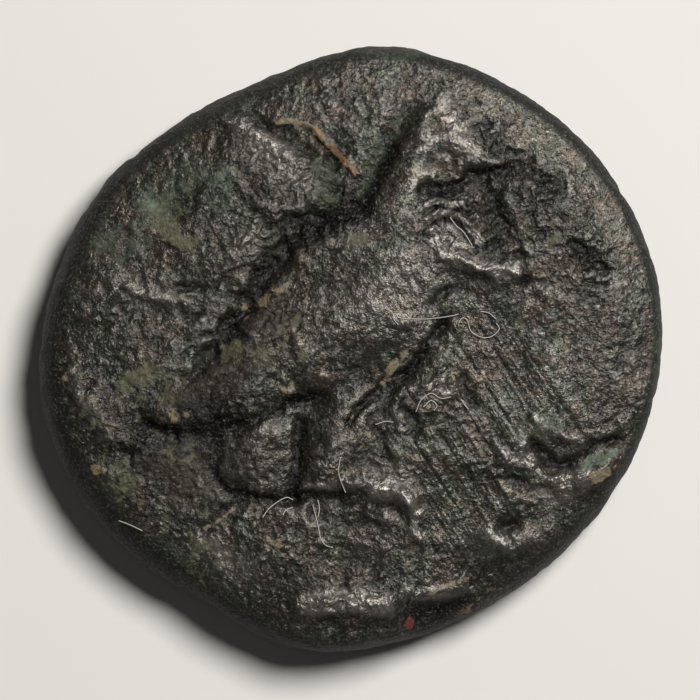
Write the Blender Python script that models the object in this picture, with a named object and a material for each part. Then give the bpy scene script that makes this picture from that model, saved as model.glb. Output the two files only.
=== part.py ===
"""A worn chalkous, a small ancient bronze coin, lying with its eagle side up.

One struck solid. Metres, +Z up, with the origin under the middle of the coin on the surface it lies on.
The outline and the carving are drawn in millimetres and laid out on the flan, so they grow with FLAN_WIDTH.
"""

import math

import bmesh
import bpy
import numpy as np

MM = 0.001

# The flan, which is the struck piece of metal.
FLAN_WIDTH = 12.5 * MM
GIRTH_HEIGHT = 0.80 * MM
FIELD_ABOVE_GIRTH = 1.16 * MM
FACE_DOME = 0.12 * MM
THICK_SIDE_ROLL = 0.26 * MM
THIN_SIDE_ROLL = 0.10 * MM
ROLL_TOWARDS = 35
ROLL_SHARPNESS = 7
UNDER_BEVEL = 0.42 * MM

# The lowest ring of the wall, as shares of the bevel underneath and of the girth's height.
LOW_RING_INSET = 0.30
LOW_RING_HEIGHT = 0.35

# The two dies.
EAGLE_HEIGHT = 0.20 * MM
STROKE_HEIGHT = 0.05 * MM
GROOVE_DEPTH = 0.06 * MM
CHIP_DEPTH = 0.40 * MM
REVERSE_RING_WIDTH = 1.25 * MM
REVERSE_DISH = 0.22 * MM
DISH_SHARPNESS = 4
CUP_HEIGHT = 0.15 * MM

# How finely each face is meshed. The reverse has half as many cells, so the count is even.
FACE_CELLS = 56
WALL_RINGS = 2
PATH_STEPS = 6

# The silhouette seen from above, as (degrees from +X, radius) of the drawing in millimetres.
OUTLINE = (
    (5, 6.28), (29, 6.29), (50, 6.21), (71, 6.13), (84, 6.12), (105, 5.71), (124, 5.68), (144, 5.93),
    (165, 6.08), (189, 6.28), (208, 6.18), (224, 6.02), (241, 5.87), (260, 6.12), (277, 5.97), (292, 5.86),
    (313, 5.88), (336, 6.04),
)

# How far the struck face stops short of the silhouette, as (degrees from +X, width) in millimetres.
BEVEL = (
    (0, 0.24), (40, 0.27), (80, 0.32), (108, 0.36), (135, 0.44), (158, 0.50), (185, 0.50), (205, 0.62),
    (228, 0.72), (250, 0.48), (272, 0.30), (300, 0.48), (318, 0.46), (335, 0.26),
)

# The eagle, standing to the right with closed wings: (start, radius, end, radius, share of its height).
EAGLE = {
    "head": ((1.45, 4.25), 0.74, (2.00, 4.05), 0.62, 0.80),
    "beak": ((2.10, 3.95), 0.48, (2.95, 3.70), 0.24, 0.60),
    "neck": ((1.25, 3.80), 0.70, (0.95, 2.60), 0.86, 0.74),
    "shoulder": ((0.95, 2.30), 1.20, (0.55, 1.70), 1.62, 0.88),
    "breast": ((1.00, 1.60), 1.32, (0.60, 0.90), 1.56, 0.96),
    "back": ((0.40, 0.80), 1.68, (-0.70, 0.00), 1.50, 0.96),
    "wing": ((-0.60, 0.30), 1.32, (-2.20, -0.80), 0.94, 0.82),
    "tail": ((-2.20, -0.85), 0.86, (-3.75, -1.25), 0.48, 0.66),
    "front_leg": ((-0.05, -1.10), 0.79, (-0.40, -2.30), 0.72, 0.66),
    "rear_leg": ((-1.75, -1.75), 0.66, (-1.95, -2.35), 0.82, 0.62),
    "ground": ((-0.50, -2.45), 0.50, (1.15, -3.00), 0.31, 0.60),
}

# Hollows that outline the figure, each a curve through its points, with a half width.
GROOVES = {
    "nape": (((1.25, 4.75), (0.80, 4.20), (0.50, 3.60), (0.10, 2.90)), 0.22),
    "under_beak": (((1.75, 3.20), (2.30, 3.32), (3.00, 3.45), (3.50, 3.55)), 0.21),
    "back": (((-0.40, 2.70), (-1.05, 2.20), (-1.55, 1.55), (-2.00, 0.95), (-2.40, 0.40), (-3.00, -0.30)), 0.24),
    "belly": (((1.90, 0.60), (1.70, 0.10), (1.35, -0.30), (0.85, -0.75), (0.55, -1.20)), 0.16),
    "wing_edge": (((-4.00, -1.60), (-3.30, -1.80), (-2.50, -1.62), (-1.60, -1.35), (-0.80, -1.05)), 0.18),
    "rear_leg": (((-2.75, -1.85), (-2.85, -2.25), (-2.50, -2.75), (-1.90, -3.00), (-1.20, -3.00)), 0.20),
    "between_legs": (((-1.00, -1.50), (-1.02, -2.00), (-1.10, -2.50), (-1.15, -3.00)), 0.16),
    "under_ground": (((-1.15, -3.00), (-0.30, -3.00), (0.50, -3.20), (1.35, -3.50)), 0.18),
    "field_crescent": (((3.70, -2.00), (4.10, -2.35), (4.60, -2.25), (5.05, -1.95), (5.35, -1.85)), 0.18),
    "field_scar": (((-1.75, 4.50), (-1.25, 4.20), (-0.80, 3.85)), 0.20),
}

# Raised strokes in the field, what is left of a worn border and lettering that can't be read.
STROKES = {
    "scar_lip": (((-2.45, 4.65), (-1.95, 4.32), (-1.30, 3.80)), 0.28),
    "breast_fold": (((2.00, 1.80), (2.50, 1.60), (3.20, 1.45)), 0.30),
    "lower_lip": (((-0.90, -5.35), (-0.10, -5.05), (1.00, -5.15)), 0.32),
    "right_lip": (((2.70, -3.65), (3.10, -3.92), (3.70, -3.75), (4.30, -3.40)), 0.28),
    "right_ring": (((3.05, -2.20), (3.25, -1.85), (3.60, -1.95)), 0.26),
    "right_bar": (((4.30, -2.80), (4.80, -2.60), (5.30, -2.30)), 0.28),
    "left_ridge": (((-5.10, -1.15), (-4.70, -1.60), (-4.20, -2.10)), 0.28),
}

# The chip where the lower edge broke away, as centre and half sizes.
CHIP = ((1.75, -5.40), 0.75, 0.42)

# A one-handled cup on the hidden side, drawn like the eagle: (start, radius, end, radius).
CUP = {
    "bowl": ((-0.20, 0.55), 2.04, (-0.20, -0.45), 1.44),
    "lip": ((-1.85, 1.95), 0.50, (1.45, 1.95), 0.50),
    "foot": ((-0.95, -2.00), 0.50, (0.55, -2.00), 0.50),
}
CUP_HANDLE = (((1.30, 1.30), (2.30, 1.20), (2.45, 0.25), (1.25, -0.40)), 0.32)

PATINA_COLOUR = (0.055, 0.054, 0.046, 1.0)
PATINA_METALLIC = 0.35
PATINA_ROUGHNESS = 0.48


def clear_scene():
    """Removes whatever objects the scene holds."""
    for found in list(bpy.data.objects):
        bpy.data.objects.remove(found)


def around(table, angle):
    """The value of a (degrees, value) table at each angle in radians, smooth all the way round."""
    knots = np.radians([row[0] for row in table])
    values = np.array([row[1] for row in table])
    count = len(table)
    turn = 2 * math.pi
    angle = (angle - knots[0]) % turn + knots[0]
    first = np.clip(np.searchsorted(knots, angle, side="right") - 1, 0, count - 1)
    low, high = values[first], values[(first + 1) % count]
    before, after = values[(first - 1) % count], values[(first + 2) % count]
    start = knots[first]
    span = (knots[(first + 1) % count] - start) % turn
    t = (angle - start) / span
    return catmull_rom(before, low, high, after, t)


def catmull_rom(before, low, high, after, t):
    """The smooth curve from low to high at t, from 0 to 1."""
    slope = high - before
    bend = 2 * before - 5 * low + 4 * high - after
    turn = 3 * (low - high) + after - before
    return low + 0.5 * t * (slope + t * (bend + t * turn))


def drawing_scale():
    """(metres per drawn millimetre, centre of the drawn silhouette) so that the coin is FLAN_WIDTH wide."""
    angle = np.linspace(0, 2 * math.pi, 721)
    radius = around(OUTLINE, angle)
    x, y = radius * np.cos(angle), radius * np.sin(angle)
    centre = ((x.max() + x.min()) / 2, (y.max() + y.min()) / 2)
    return FLAN_WIDTH / (x.max() - x.min()), centre


def smooth_path(points):
    """A curve through the points, as an array of closely spaced ones."""
    points = np.array(points, float)
    ends = np.vstack([2 * points[0] - points[1], points, 2 * points[-1] - points[-2]])
    t = np.linspace(0, 1, PATH_STEPS, endpoint=False)[:, None]
    pieces = [catmull_rom(*ends[i:i + 4], t) for i in range(len(points) - 1)]
    return np.vstack([*pieces, points[-1:]])


def to_segment(x, y, start, end):
    """(distance, share along) from each point to a straight stretch."""
    along = np.subtract(end, start)
    share = ((x - start[0]) * along[0] + (y - start[1]) * along[1]) / max(along @ along, 1e-12)
    share = np.clip(share, 0, 1)
    return np.hypot(x - start[0] - share * along[0], y - start[1] - share * along[1]), share


def stroke(x, y, points, half_width):
    """A soft-edged line along the points: 1 on the line and 0 away from it, fading at its ends."""
    path = smooth_path(points)
    distance = np.full(np.shape(x), np.inf)
    for start, end in zip(path[:-1], path[1:]):
        distance = np.minimum(distance, to_segment(x, y, start, end)[0])
    return np.exp(-((distance / half_width) ** 2))


def lobe(x, y, start, start_radius, end, end_radius):
    """A rounded swelling between two circles: 1 along its middle and 0 at its outline."""
    distance, share = to_segment(x, y, start, end)
    radius = start_radius + share * (end_radius - start_radius)
    inside = np.clip(1 - distance / radius, 0, 1)
    return inside * inside * (3 - 2 * inside)


def melded(heights, sharpness=4):
    """Swellings run together into one body."""
    return sum(height ** sharpness for height in heights) ** (1 / sharpness)


def eagle(x, y):
    """The figure, from 0 in the field to 1 on its breast."""
    return melded(share * lobe(x, y, *shape) for *shape, share in EAGLE.values())


def chip(x, y):
    """The broken place at the lower edge, 1 in its middle."""
    (centre_x, centre_y), half_length, half_width = CHIP
    return np.exp(-(((x - centre_x) / half_length) ** 4 + ((y - centre_y) / half_width) ** 4))


def obverse_height(x, y, share, angle):
    """Height of the eagle side. share runs from 0 in the middle to 1 at the face's edge."""
    rolled = 0.5 + 0.5 * np.cos(angle - math.radians(ROLL_TOWARDS))
    roll = THIN_SIDE_ROLL + (THICK_SIDE_ROLL - THIN_SIDE_ROLL) * rolled
    height = GIRTH_HEIGHT + FIELD_ABOVE_GIRTH + FACE_DOME * (1 - share ** 2) - roll * share ** ROLL_SHARPNESS
    height = height + EAGLE_HEIGHT * eagle(x, y)
    for points, half_width in STROKES.values():
        height = height + STROKE_HEIGHT * stroke(x, y, points, half_width)
    for points, half_width in GROOVES.values():
        height = height - GROOVE_DEPTH * stroke(x, y, points, half_width)
    return height - CHIP_DEPTH * chip(x, y)


def reverse_height(x, y, share, ring_share):
    """Height of the hidden side: a flat worn ring that the coin rests on, round a dished field with a cup."""
    inward = np.clip(1 - share / ring_share, 0, 1)
    dish = REVERSE_DISH * (1 - (1 - inward) ** DISH_SHARPNESS)
    cup = melded([lobe(x, y, *shape) for shape in CUP.values()] + [stroke(x, y, *CUP_HANDLE)])
    return np.maximum(dish - CUP_HEIGHT * cup * (inward > 0), 0)


def disc_grid(cells):
    """A square grid of cells bent into a disc: (mesh, share of the radius, angle) of its points."""
    grid = bmesh.new()
    bmesh.ops.create_grid(grid, x_segments=cells, y_segments=cells, size=1)
    square = np.array([vertex.co for vertex in grid.verts])
    u, v = square[:, 0], square[:, 1]
    x, y = u * np.sqrt(1 - v ** 2 / 2), v * np.sqrt(1 - u ** 2 / 2)
    return grid, np.hypot(x, y), np.arctan2(y, x)


def place(grid, x, y, z):
    """Moves the grid's points."""
    for vertex, position in zip(grid.verts, np.column_stack([x, y, z])):
        vertex.co = position


def face_points(share, angle, inset, scale, centre):
    """((x, y) in the drawing, (x, y) in metres) of points at a share of the radius, inside the silhouette."""
    radius = share * (around(OUTLINE, angle) - inset)
    x, y = radius * np.cos(angle), radius * np.sin(angle)
    return (x, y), (scale * (x - centre[0]), scale * (y - centre[1]))


def boundary_loop(mesh):
    """The open edge of a bent grid, as its points in order round the coin."""
    rim = {vertex for edge in mesh.edges if edge.is_boundary for vertex in edge.verts}
    return sorted(rim, key=lambda vertex: math.atan2(vertex.co.y, vertex.co.x))


def wall_section(level):
    """(share of the bevel crossed, share of the height left) down the upper wall, at level 0 to 1."""
    return math.sin(level * math.pi / 2), math.cos(level * math.pi / 2)


def add_ring(mesh, above, positions):
    """Joins a new ring of points to the ring above it, with one point for each, and returns it."""
    below = [mesh.verts.new(position) for position in positions]
    for i in range(len(above)):
        j = (i + 1) % len(above)
        mesh.faces.new((above[i], below[i], below[j], above[j]))
    return below


def join_half_ring(mesh, fine, coarse):
    """Closes the gap between a ring and one with half as many points."""
    count = len(coarse)
    first = min(range(len(fine)), key=lambda i: (fine[i].co.xy - coarse[0].co.xy).length)
    fine = fine[first:] + fine[:first]
    for i in range(count):
        j = (i + 1) % count
        here, middle, there = fine[2 * i], fine[2 * i + 1], fine[(2 * i + 2) % len(fine)]
        mesh.faces.new((here, coarse[i], middle))
        mesh.faces.new((middle, coarse[i], coarse[j]))
        mesh.faces.new((middle, coarse[j], there))


def build_flan():
    """The whole coin as one closed mesh."""
    scale, centre = drawing_scale()
    flan, share, angle = disc_grid(FACE_CELLS)
    drawn, metres = face_points(share, angle, around(BEVEL, angle), scale, centre)
    place(flan, *metres, obverse_height(*drawn, share, angle))

    ring = boundary_loop(flan)
    edge = np.array([vertex.co for vertex in ring])
    ring_angle = np.arctan2(edge[:, 1] + scale * centre[1], edge[:, 0] + scale * centre[0])
    bevel = around(BEVEL, ring_angle)
    under = UNDER_BEVEL / scale
    for step in range(1, WALL_RINGS + 1):
        out, up = wall_section(step / WALL_RINGS)
        _, (x, y) = face_points(1, ring_angle, bevel * (1 - out), scale, centre)
        z = GIRTH_HEIGHT + (edge[:, 2] - GIRTH_HEIGHT) * up
        ring = add_ring(flan, ring, zip(x, y, z))
    _, (x, y) = face_points(1, ring_angle, LOW_RING_INSET * under, scale, centre)
    ring = add_ring(flan, ring, zip(x, y, np.full(len(ring), LOW_RING_HEIGHT * GIRTH_HEIGHT)))

    reverse, share, angle = disc_grid(FACE_CELLS // 2)
    drawn, metres = face_points(share, angle, under, scale, centre)
    ring_share = 1 - REVERSE_RING_WIDTH / (FLAN_WIDTH / 2 - UNDER_BEVEL)
    place(reverse, *metres, reverse_height(*drawn, share, ring_share))
    bmesh.ops.reverse_faces(reverse, faces=reverse.faces)
    joined = bpy.data.meshes.new("reverse_face")
    reverse.to_mesh(joined)
    reverse.free()
    upper = set(flan.verts)
    flan.from_mesh(joined)
    bpy.data.meshes.remove(joined)
    lower_rim = [v for v in flan.verts if v not in upper and any(e.is_boundary for e in v.link_edges)]
    lower_rim.sort(key=lambda vertex: math.atan2(vertex.co.y, vertex.co.x))
    join_half_ring(flan, ring, lower_rim)

    bmesh.ops.triangulate(flan, faces=flan.faces, quad_method="BEAUTY")
    bmesh.ops.recalc_face_normals(flan, faces=flan.faces)
    return flan


def patina():
    """Dark bronze under a thin, worn mineral skin."""
    material = bpy.data.materials.new("dark_bronze_patina")
    material.use_nodes = True
    shader = material.node_tree.nodes["Principled BSDF"]
    shader.inputs["Base Color"].default_value = PATINA_COLOUR
    shader.inputs["Metallic"].default_value = PATINA_METALLIC
    shader.inputs["Roughness"].default_value = PATINA_ROUGHNESS
    return material


def main():
    """Builds the coin in an empty scene."""
    clear_scene()
    mesh = bpy.data.meshes.new("bronze_coin")
    flan = build_flan()
    flan.to_mesh(mesh)
    flan.free()
    mesh.shade_smooth()
    mesh.materials.append(patina())
    coin = bpy.data.objects.new("bronze_coin", mesh)
    bpy.context.scene.collection.objects.link(coin)


main()
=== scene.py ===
"""The looks of a worn chalkous: a struck bronze coin with a dark patina, lying with its eagle side up.

The coin's form repeats the CAD solid's, on a much finer mesh, and adds the relief that wear, corrosion and
dirt have left. Places on the coin are read from the photograph in millimetres, from the drawing's own
middle: +X to the right and +Y up in the photograph. Relief is in millimetres above what it stands on.
"""

import logging
import math
from dataclasses import dataclass
from enum import Enum, IntEnum

import bpy
import numpy as np
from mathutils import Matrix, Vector


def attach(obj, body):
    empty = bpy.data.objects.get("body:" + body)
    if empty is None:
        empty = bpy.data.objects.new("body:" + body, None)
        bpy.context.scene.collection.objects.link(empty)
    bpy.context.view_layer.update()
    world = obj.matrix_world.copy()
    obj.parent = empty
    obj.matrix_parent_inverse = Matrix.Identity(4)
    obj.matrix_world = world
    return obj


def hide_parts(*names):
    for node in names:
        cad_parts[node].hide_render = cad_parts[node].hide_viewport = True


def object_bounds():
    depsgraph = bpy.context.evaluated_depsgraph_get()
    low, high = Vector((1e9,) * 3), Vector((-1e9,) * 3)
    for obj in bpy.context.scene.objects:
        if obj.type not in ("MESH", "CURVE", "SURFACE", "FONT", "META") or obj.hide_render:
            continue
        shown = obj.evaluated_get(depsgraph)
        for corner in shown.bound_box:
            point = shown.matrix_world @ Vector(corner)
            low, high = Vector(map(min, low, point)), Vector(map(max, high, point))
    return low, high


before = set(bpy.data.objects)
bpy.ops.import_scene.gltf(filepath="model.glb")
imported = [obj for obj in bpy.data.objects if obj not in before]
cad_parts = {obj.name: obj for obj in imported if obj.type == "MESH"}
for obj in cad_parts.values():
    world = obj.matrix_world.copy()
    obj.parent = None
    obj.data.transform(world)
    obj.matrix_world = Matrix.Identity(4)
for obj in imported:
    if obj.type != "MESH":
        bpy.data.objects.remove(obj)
cad_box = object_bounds()

MM = 0.001
Point = tuple[float, float]
Array = np.ndarray
Tree = bpy.types.NodeTree
Socket = bpy.types.NodeSocket

# The photograph's frame: its width, its scale, and the pixel that the drawing's middle lies on.
PHOTO_WIDTH_PX = 700
PHOTO_PX_PER_MM = 50.0
PHOTO_MIDDLE_PX = (351, 349)

# The way that the fine scratches run, in degrees from +X.
SCRATCH_DEGREES = -57

# The folds of the crumpled patch in front of the eagle's neck, and the hollow under its belly.
NECK_FOLDS = (
    ((1.52, 2.86), (1.76, 2.96), (1.98, 2.88), (2.2, 2.92)),
    ((1.55, 2.6), (1.8, 2.72), (2.1, 2.66), (2.35, 2.45), (2.6, 2.15)),
    ((1.62, 2.36), (1.84, 2.46), (2.04, 2.38), (2.18, 2.2)),
    ((1.66, 2.12), (1.9, 2.22), (2.06, 2.08), (2.36, 2.0)),
)
BELLY_LINE = ((1.8, 0.48), (1.6, 0.15), (1.3, -0.28), (0.83, -0.68), (0.3, -1.07), (-0.09, -1.5))

# The sockets of a colour Mix node, whose names repeat.
MIX_FACTOR, MIX_A, MIX_B, MIX_RESULT = 0, 6, 7, 2


def linear(hex_colour: str) -> tuple[float, float, float, float]:
    """Turns an sRGB hex colour into the linear values that Blender works with.

    Args:
        hex_colour: the colour, such as "#3a382f".

    Returns:
        Linear red, green and blue, and full opacity.
    """
    channels = [int(hex_colour[i:i + 2], 16) / 255 for i in (1, 3, 5)]
    return (*(c / 12.92 if c <= 0.04045 else ((c + 0.055) / 1.055) ** 2.4 for c in channels), 1.0)


def add_node(tree: Tree, kind: str, inputs: dict | None = None, output: int | str = 0, **settings) -> Socket:
    """Adds one node with its settings and links.

    Args:
        tree: the material's node tree.
        kind: the node's type, without the ShaderNode that all of them start with.
        inputs: socket names or numbers, each with a value or with the output socket to link from.
        output: the name or number of the output that is wanted.
        settings: the node's own properties.

    Returns:
        That output of the new node.
    """
    node = tree.nodes.new("ShaderNode" + kind)
    for name, value in settings.items():
        setattr(node, name, value)
    for name, value in (inputs or {}).items():
        if isinstance(value, Socket):
            tree.links.new(value, node.inputs[name])
        else:
            node.inputs[name].default_value = value
    return node.outputs[output]


def new_material(name: str) -> tuple[bpy.types.Material, bpy.types.Node]:
    """Makes a material, and gives it and its shader.

    Args:
        name: the material's name.

    Returns:
        The material and its shader node.
    """
    made = bpy.data.materials.new(name)
    made.use_nodes = True
    return made, made.node_tree.nodes["Principled BSDF"]


def add_object(name: str, data: bpy.types.ID) -> bpy.types.Object:
    """Adds an object with its mesh, lamp or camera to the scene.

    Args:
        name: the object's name.
        data: the mesh, lamp or camera.

    Returns:
        The new object.
    """
    added = bpy.data.objects.new(name, data)
    bpy.context.scene.collection.objects.link(added)
    return added


def step_between(value: Array, low: float, high: float) -> Array:
    """Rises smoothly from 0 where value is low to 1 where it is high."""
    share = np.clip((value - low) / (high - low), 0, 1)
    return share * share * (3 - 2 * share)


def catmull_rom(before: Array, low: Array, high: Array, after: Array, t: Array) -> Array:
    """The smooth curve from low to high at t, from 0 to 1, with its neighbours before and after.

    Args:
        before: the point before low.
        low: the point at t = 0.
        high: the point at t = 1.
        after: the point after high.
        t: how far along, from 0 to 1.

    Returns:
        The point or value there.
    """
    slope = high - before
    bend = 2 * before - 5 * low + 4 * high - after
    turn = 3 * (low - high) + after - before
    return low + 0.5 * t * (slope + t * (bend + t * turn))


def smooth_path(points: tuple, steps: int = 6) -> Array:
    """A curve through some points.

    Args:
        points: the points, in two or three dimensions.
        steps: how many pieces each stretch is cut into.

    Returns:
        Closely spaced points along the curve.
    """
    knots = np.array(points, float)
    ends = np.vstack([2 * knots[0] - knots[1], knots, 2 * knots[-1] - knots[-2]])
    t = np.linspace(0, 1, steps, endpoint=False)[:, None]
    pieces = [catmull_rom(*ends[i:i + 4], t) for i in range(len(knots) - 1)]
    return np.vstack([*pieces, knots[-1:]])


def to_segment(x: Array, y: Array, start: Point, end: Point) -> tuple[Array, Array]:
    """The distance from each point to a straight stretch, and the share of it passed.

    Args:
        x: places to the right.
        y: places up.
        start: where the stretch starts.
        end: where it ends.

    Returns:
        The distance, and the share of the stretch passed, from 0 to 1.
    """
    along = np.subtract(end, start)
    share = ((x - start[0]) * along[0] + (y - start[1]) * along[1]) / max(along @ along, 1e-12)
    share = np.clip(share, 0, 1)
    return np.hypot(x - start[0] - share * along[0], y - start[1] - share * along[1]), share


@dataclass(frozen=True)
class Around:
    """A size that changes round the coin, given at a few angles and smooth between them."""

    knots: tuple[Point, ...]

    def at(self, angle: Array) -> Array:
        """The size at each angle.

        Args:
            angle: radians from +X.

        Returns:
            The size there, in millimetres.
        """
        turn = 2 * math.pi
        degrees, values = np.array(self.knots).T
        starts = np.radians(degrees)
        count = len(starts)
        angle = (angle - starts[0]) % turn + starts[0]
        first = np.clip(np.searchsorted(starts, angle, side="right") - 1, 0, count - 1)
        after = (first + 1) % count
        span = (starts[after] - starts[first]) % turn
        t = (angle - starts[first]) / span
        return catmull_rom(
            values[(first - 1) % count], values[first], values[after], values[(first + 2) % count], t
        )


class Layer(IntEnum):
    """The number that each layer of noise is seeded with."""

    ROLLING = 1
    CRUST = 2
    SAND = 3
    PITS = 5
    CRUMPLES = 6
    BEND_RIGHT = 7
    BEND_UP = 8
    UNEVENNESS = 9
    STRIKE_RIGHT = 11
    STRIKE_UP = 12
    WALL_DENTS = 21
    WALL_SAND = 22
    WALL_PITS = 23
    REVERSE_WEAR = 31
    REVERSE_SAND = 32
    REVERSE_PITS = 33
    SCRATCHES = 40


@dataclass(frozen=True)
class Grain:
    """Seeded gradient noise, for all that chance has left on the metal."""

    seed: int = 17
    cells: int = 256
    layer_turn: float = 2.4
    gain: float = 1.6

    # How strong and how big each octave is against the one before, and how far apart their numbers are.
    rough_strength: float = 0.55
    rough_size: float = 0.5
    crumb_strength: float = 0.6
    crumb_size: float = 0.55
    octave_step: int = 100

    def waves(self, x: Array, y: Array, length: float, layer: int) -> Array:
        """One layer of noise, about -1 to 1.

        Args:
            x: places to the right.
            y: places up.
            length: the size of its bumps, in the same units.
            layer: the layer's number, which no other has.

        Returns:
            The noise at each place.
        """
        turns = np.random.default_rng((self.seed, layer)).uniform(0, 2 * math.pi, (self.cells, self.cells))
        turn = layer * self.layer_turn
        u = (x * math.cos(turn) - y * math.sin(turn)) / length
        v = (x * math.sin(turn) + y * math.cos(turn)) / length
        column, row = np.floor(u).astype(int), np.floor(v).astype(int)
        s, t = u - column, v - row

        def corner(right: int, up: int) -> Array:
            """The pull of one corner of each place's cell."""
            lean = turns[(column + right) % self.cells, (row + up) % self.cells]
            return np.cos(lean) * (s - right) + np.sin(lean) * (t - up)

        fade_s, fade_t = (w ** 3 * (w * (w * 6 - 15) + 10) for w in (s, t))
        low = corner(0, 0) + fade_s * (corner(1, 0) - corner(0, 0))
        high = corner(0, 1) + fade_s * (corner(1, 1) - corner(0, 1))
        return self.gain * (low + fade_t * (high - low))

    def rough(self, x: Array, y: Array, length: float, layer: int, octaves: int = 3) -> Array:
        """Noise with finer noise on it, each octave half the size and a little over half the strength."""
        layers = [self.waves(x, y, length * self.rough_size ** k, layer + self.octave_step * k)
                  for k in range(octaves)]
        return sum(self.rough_strength ** k * waves for k, waves in enumerate(layers))

    def crumbs(self, x: Array, y: Array, length: float, layer: int, octaves: int = 4) -> Array:
        """Rounded lumps with sharp creases between them, as corrosion leaves, from 0 up to about 1."""
        layers = [self.waves(x, y, length * self.crumb_size ** k, layer + self.octave_step * k)
                  for k in range(octaves)]
        return sum(self.crumb_strength ** k * np.abs(waves) for k, waves in enumerate(layers))

    def streaks(self, x: Array, y: Array, degrees: float, width: float, length: float, layer: int) -> Array:
        """Noise drawn out into streaks.

        Args:
            x: places to the right.
            y: places up.
            degrees: the way the streaks run, from +X.
            width: the distance across a streak.
            length: the distance along it.
            layer: the layer's number, which no other has.

        Returns:
            The noise at each place, about -1 to 1.
        """
        along_x, along_y = math.cos(math.radians(degrees)), math.sin(math.radians(degrees))
        along = (x * along_x + y * along_y) * width / length
        return self.waves(along, y * along_x - x * along_y, width, layer)


@dataclass(frozen=True)
class Lobe:
    """A rounded swelling between two circles, with its share of the figure's height."""

    start: Point
    start_radius: float
    end: Point
    end_radius: float
    share: float = 1.0

    def at(self, x: Array, y: Array) -> Array:
        """Its height: its share along the middle, and 0 at its outline.

        Args:
            x: places to the right, in millimetres.
            y: places up, in millimetres.

        Returns:
            The share of the figure's height at each place.
        """
        distance, passed = to_segment(x, y, self.start, self.end)
        radius = self.start_radius + passed * (self.end_radius - self.start_radius)
        inside = np.clip(1 - distance / radius, 0, 1)
        return self.share * inside * inside * (3 - 2 * inside)


@dataclass(frozen=True)
class Line:
    """A ridge or a groove along a curve, fading at its sides and its ends."""

    height: float
    half_width: float
    points: tuple[Point, ...]

    def at(self, x: Array, y: Array) -> Array:
        """Its height in millimetres, which is below 0 in a groove.

        Args:
            x: places to the right, in millimetres.
            y: places up, in millimetres.

        Returns:
            The height, in millimetres, at each place.
        """
        path = smooth_path(self.points)
        reach = 3 * self.half_width
        low, high = path.min(0) - reach, path.max(0) + reach
        near = (x > low[0]) & (x < high[0]) & (y > low[1]) & (y < high[1])
        distance = np.full(x[near].shape, np.inf)
        for start, end in zip(path[:-1], path[1:]):
            distance = np.minimum(distance, to_segment(x[near], y[near], start, end)[0])
        result = np.zeros(x.shape)
        result[near] = self.height * np.exp(-((distance / self.half_width) ** 2))
        return result


@dataclass(frozen=True)
class Spot:
    """A soft oval place: a bump, a pit or a patch of something."""

    strength: float
    centre: Point
    half_length: float
    half_width: float
    degrees: float = 0.0

    def at(self, x: Array, y: Array) -> Array:
        """Its strength, full in the middle and fading to 0.

        Args:
            x: places to the right, in millimetres.
            y: places up, in millimetres.

        Returns:
            The strength at each place.
        """
        cosine, sine = math.cos(math.radians(self.degrees)), math.sin(math.radians(self.degrees))
        right, up = x - self.centre[0], y - self.centre[1]
        along, across = right * cosine + up * sine, up * cosine - right * sine
        return self.strength * np.exp(-((along / self.half_length) ** 2 + (across / self.half_width) ** 2))


def total(parts: tuple, x: Array, y: Array) -> Array:
    """The heights of several lines or spots, added up."""
    return sum((part.at(x, y) for part in parts), np.zeros(x.shape))


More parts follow.
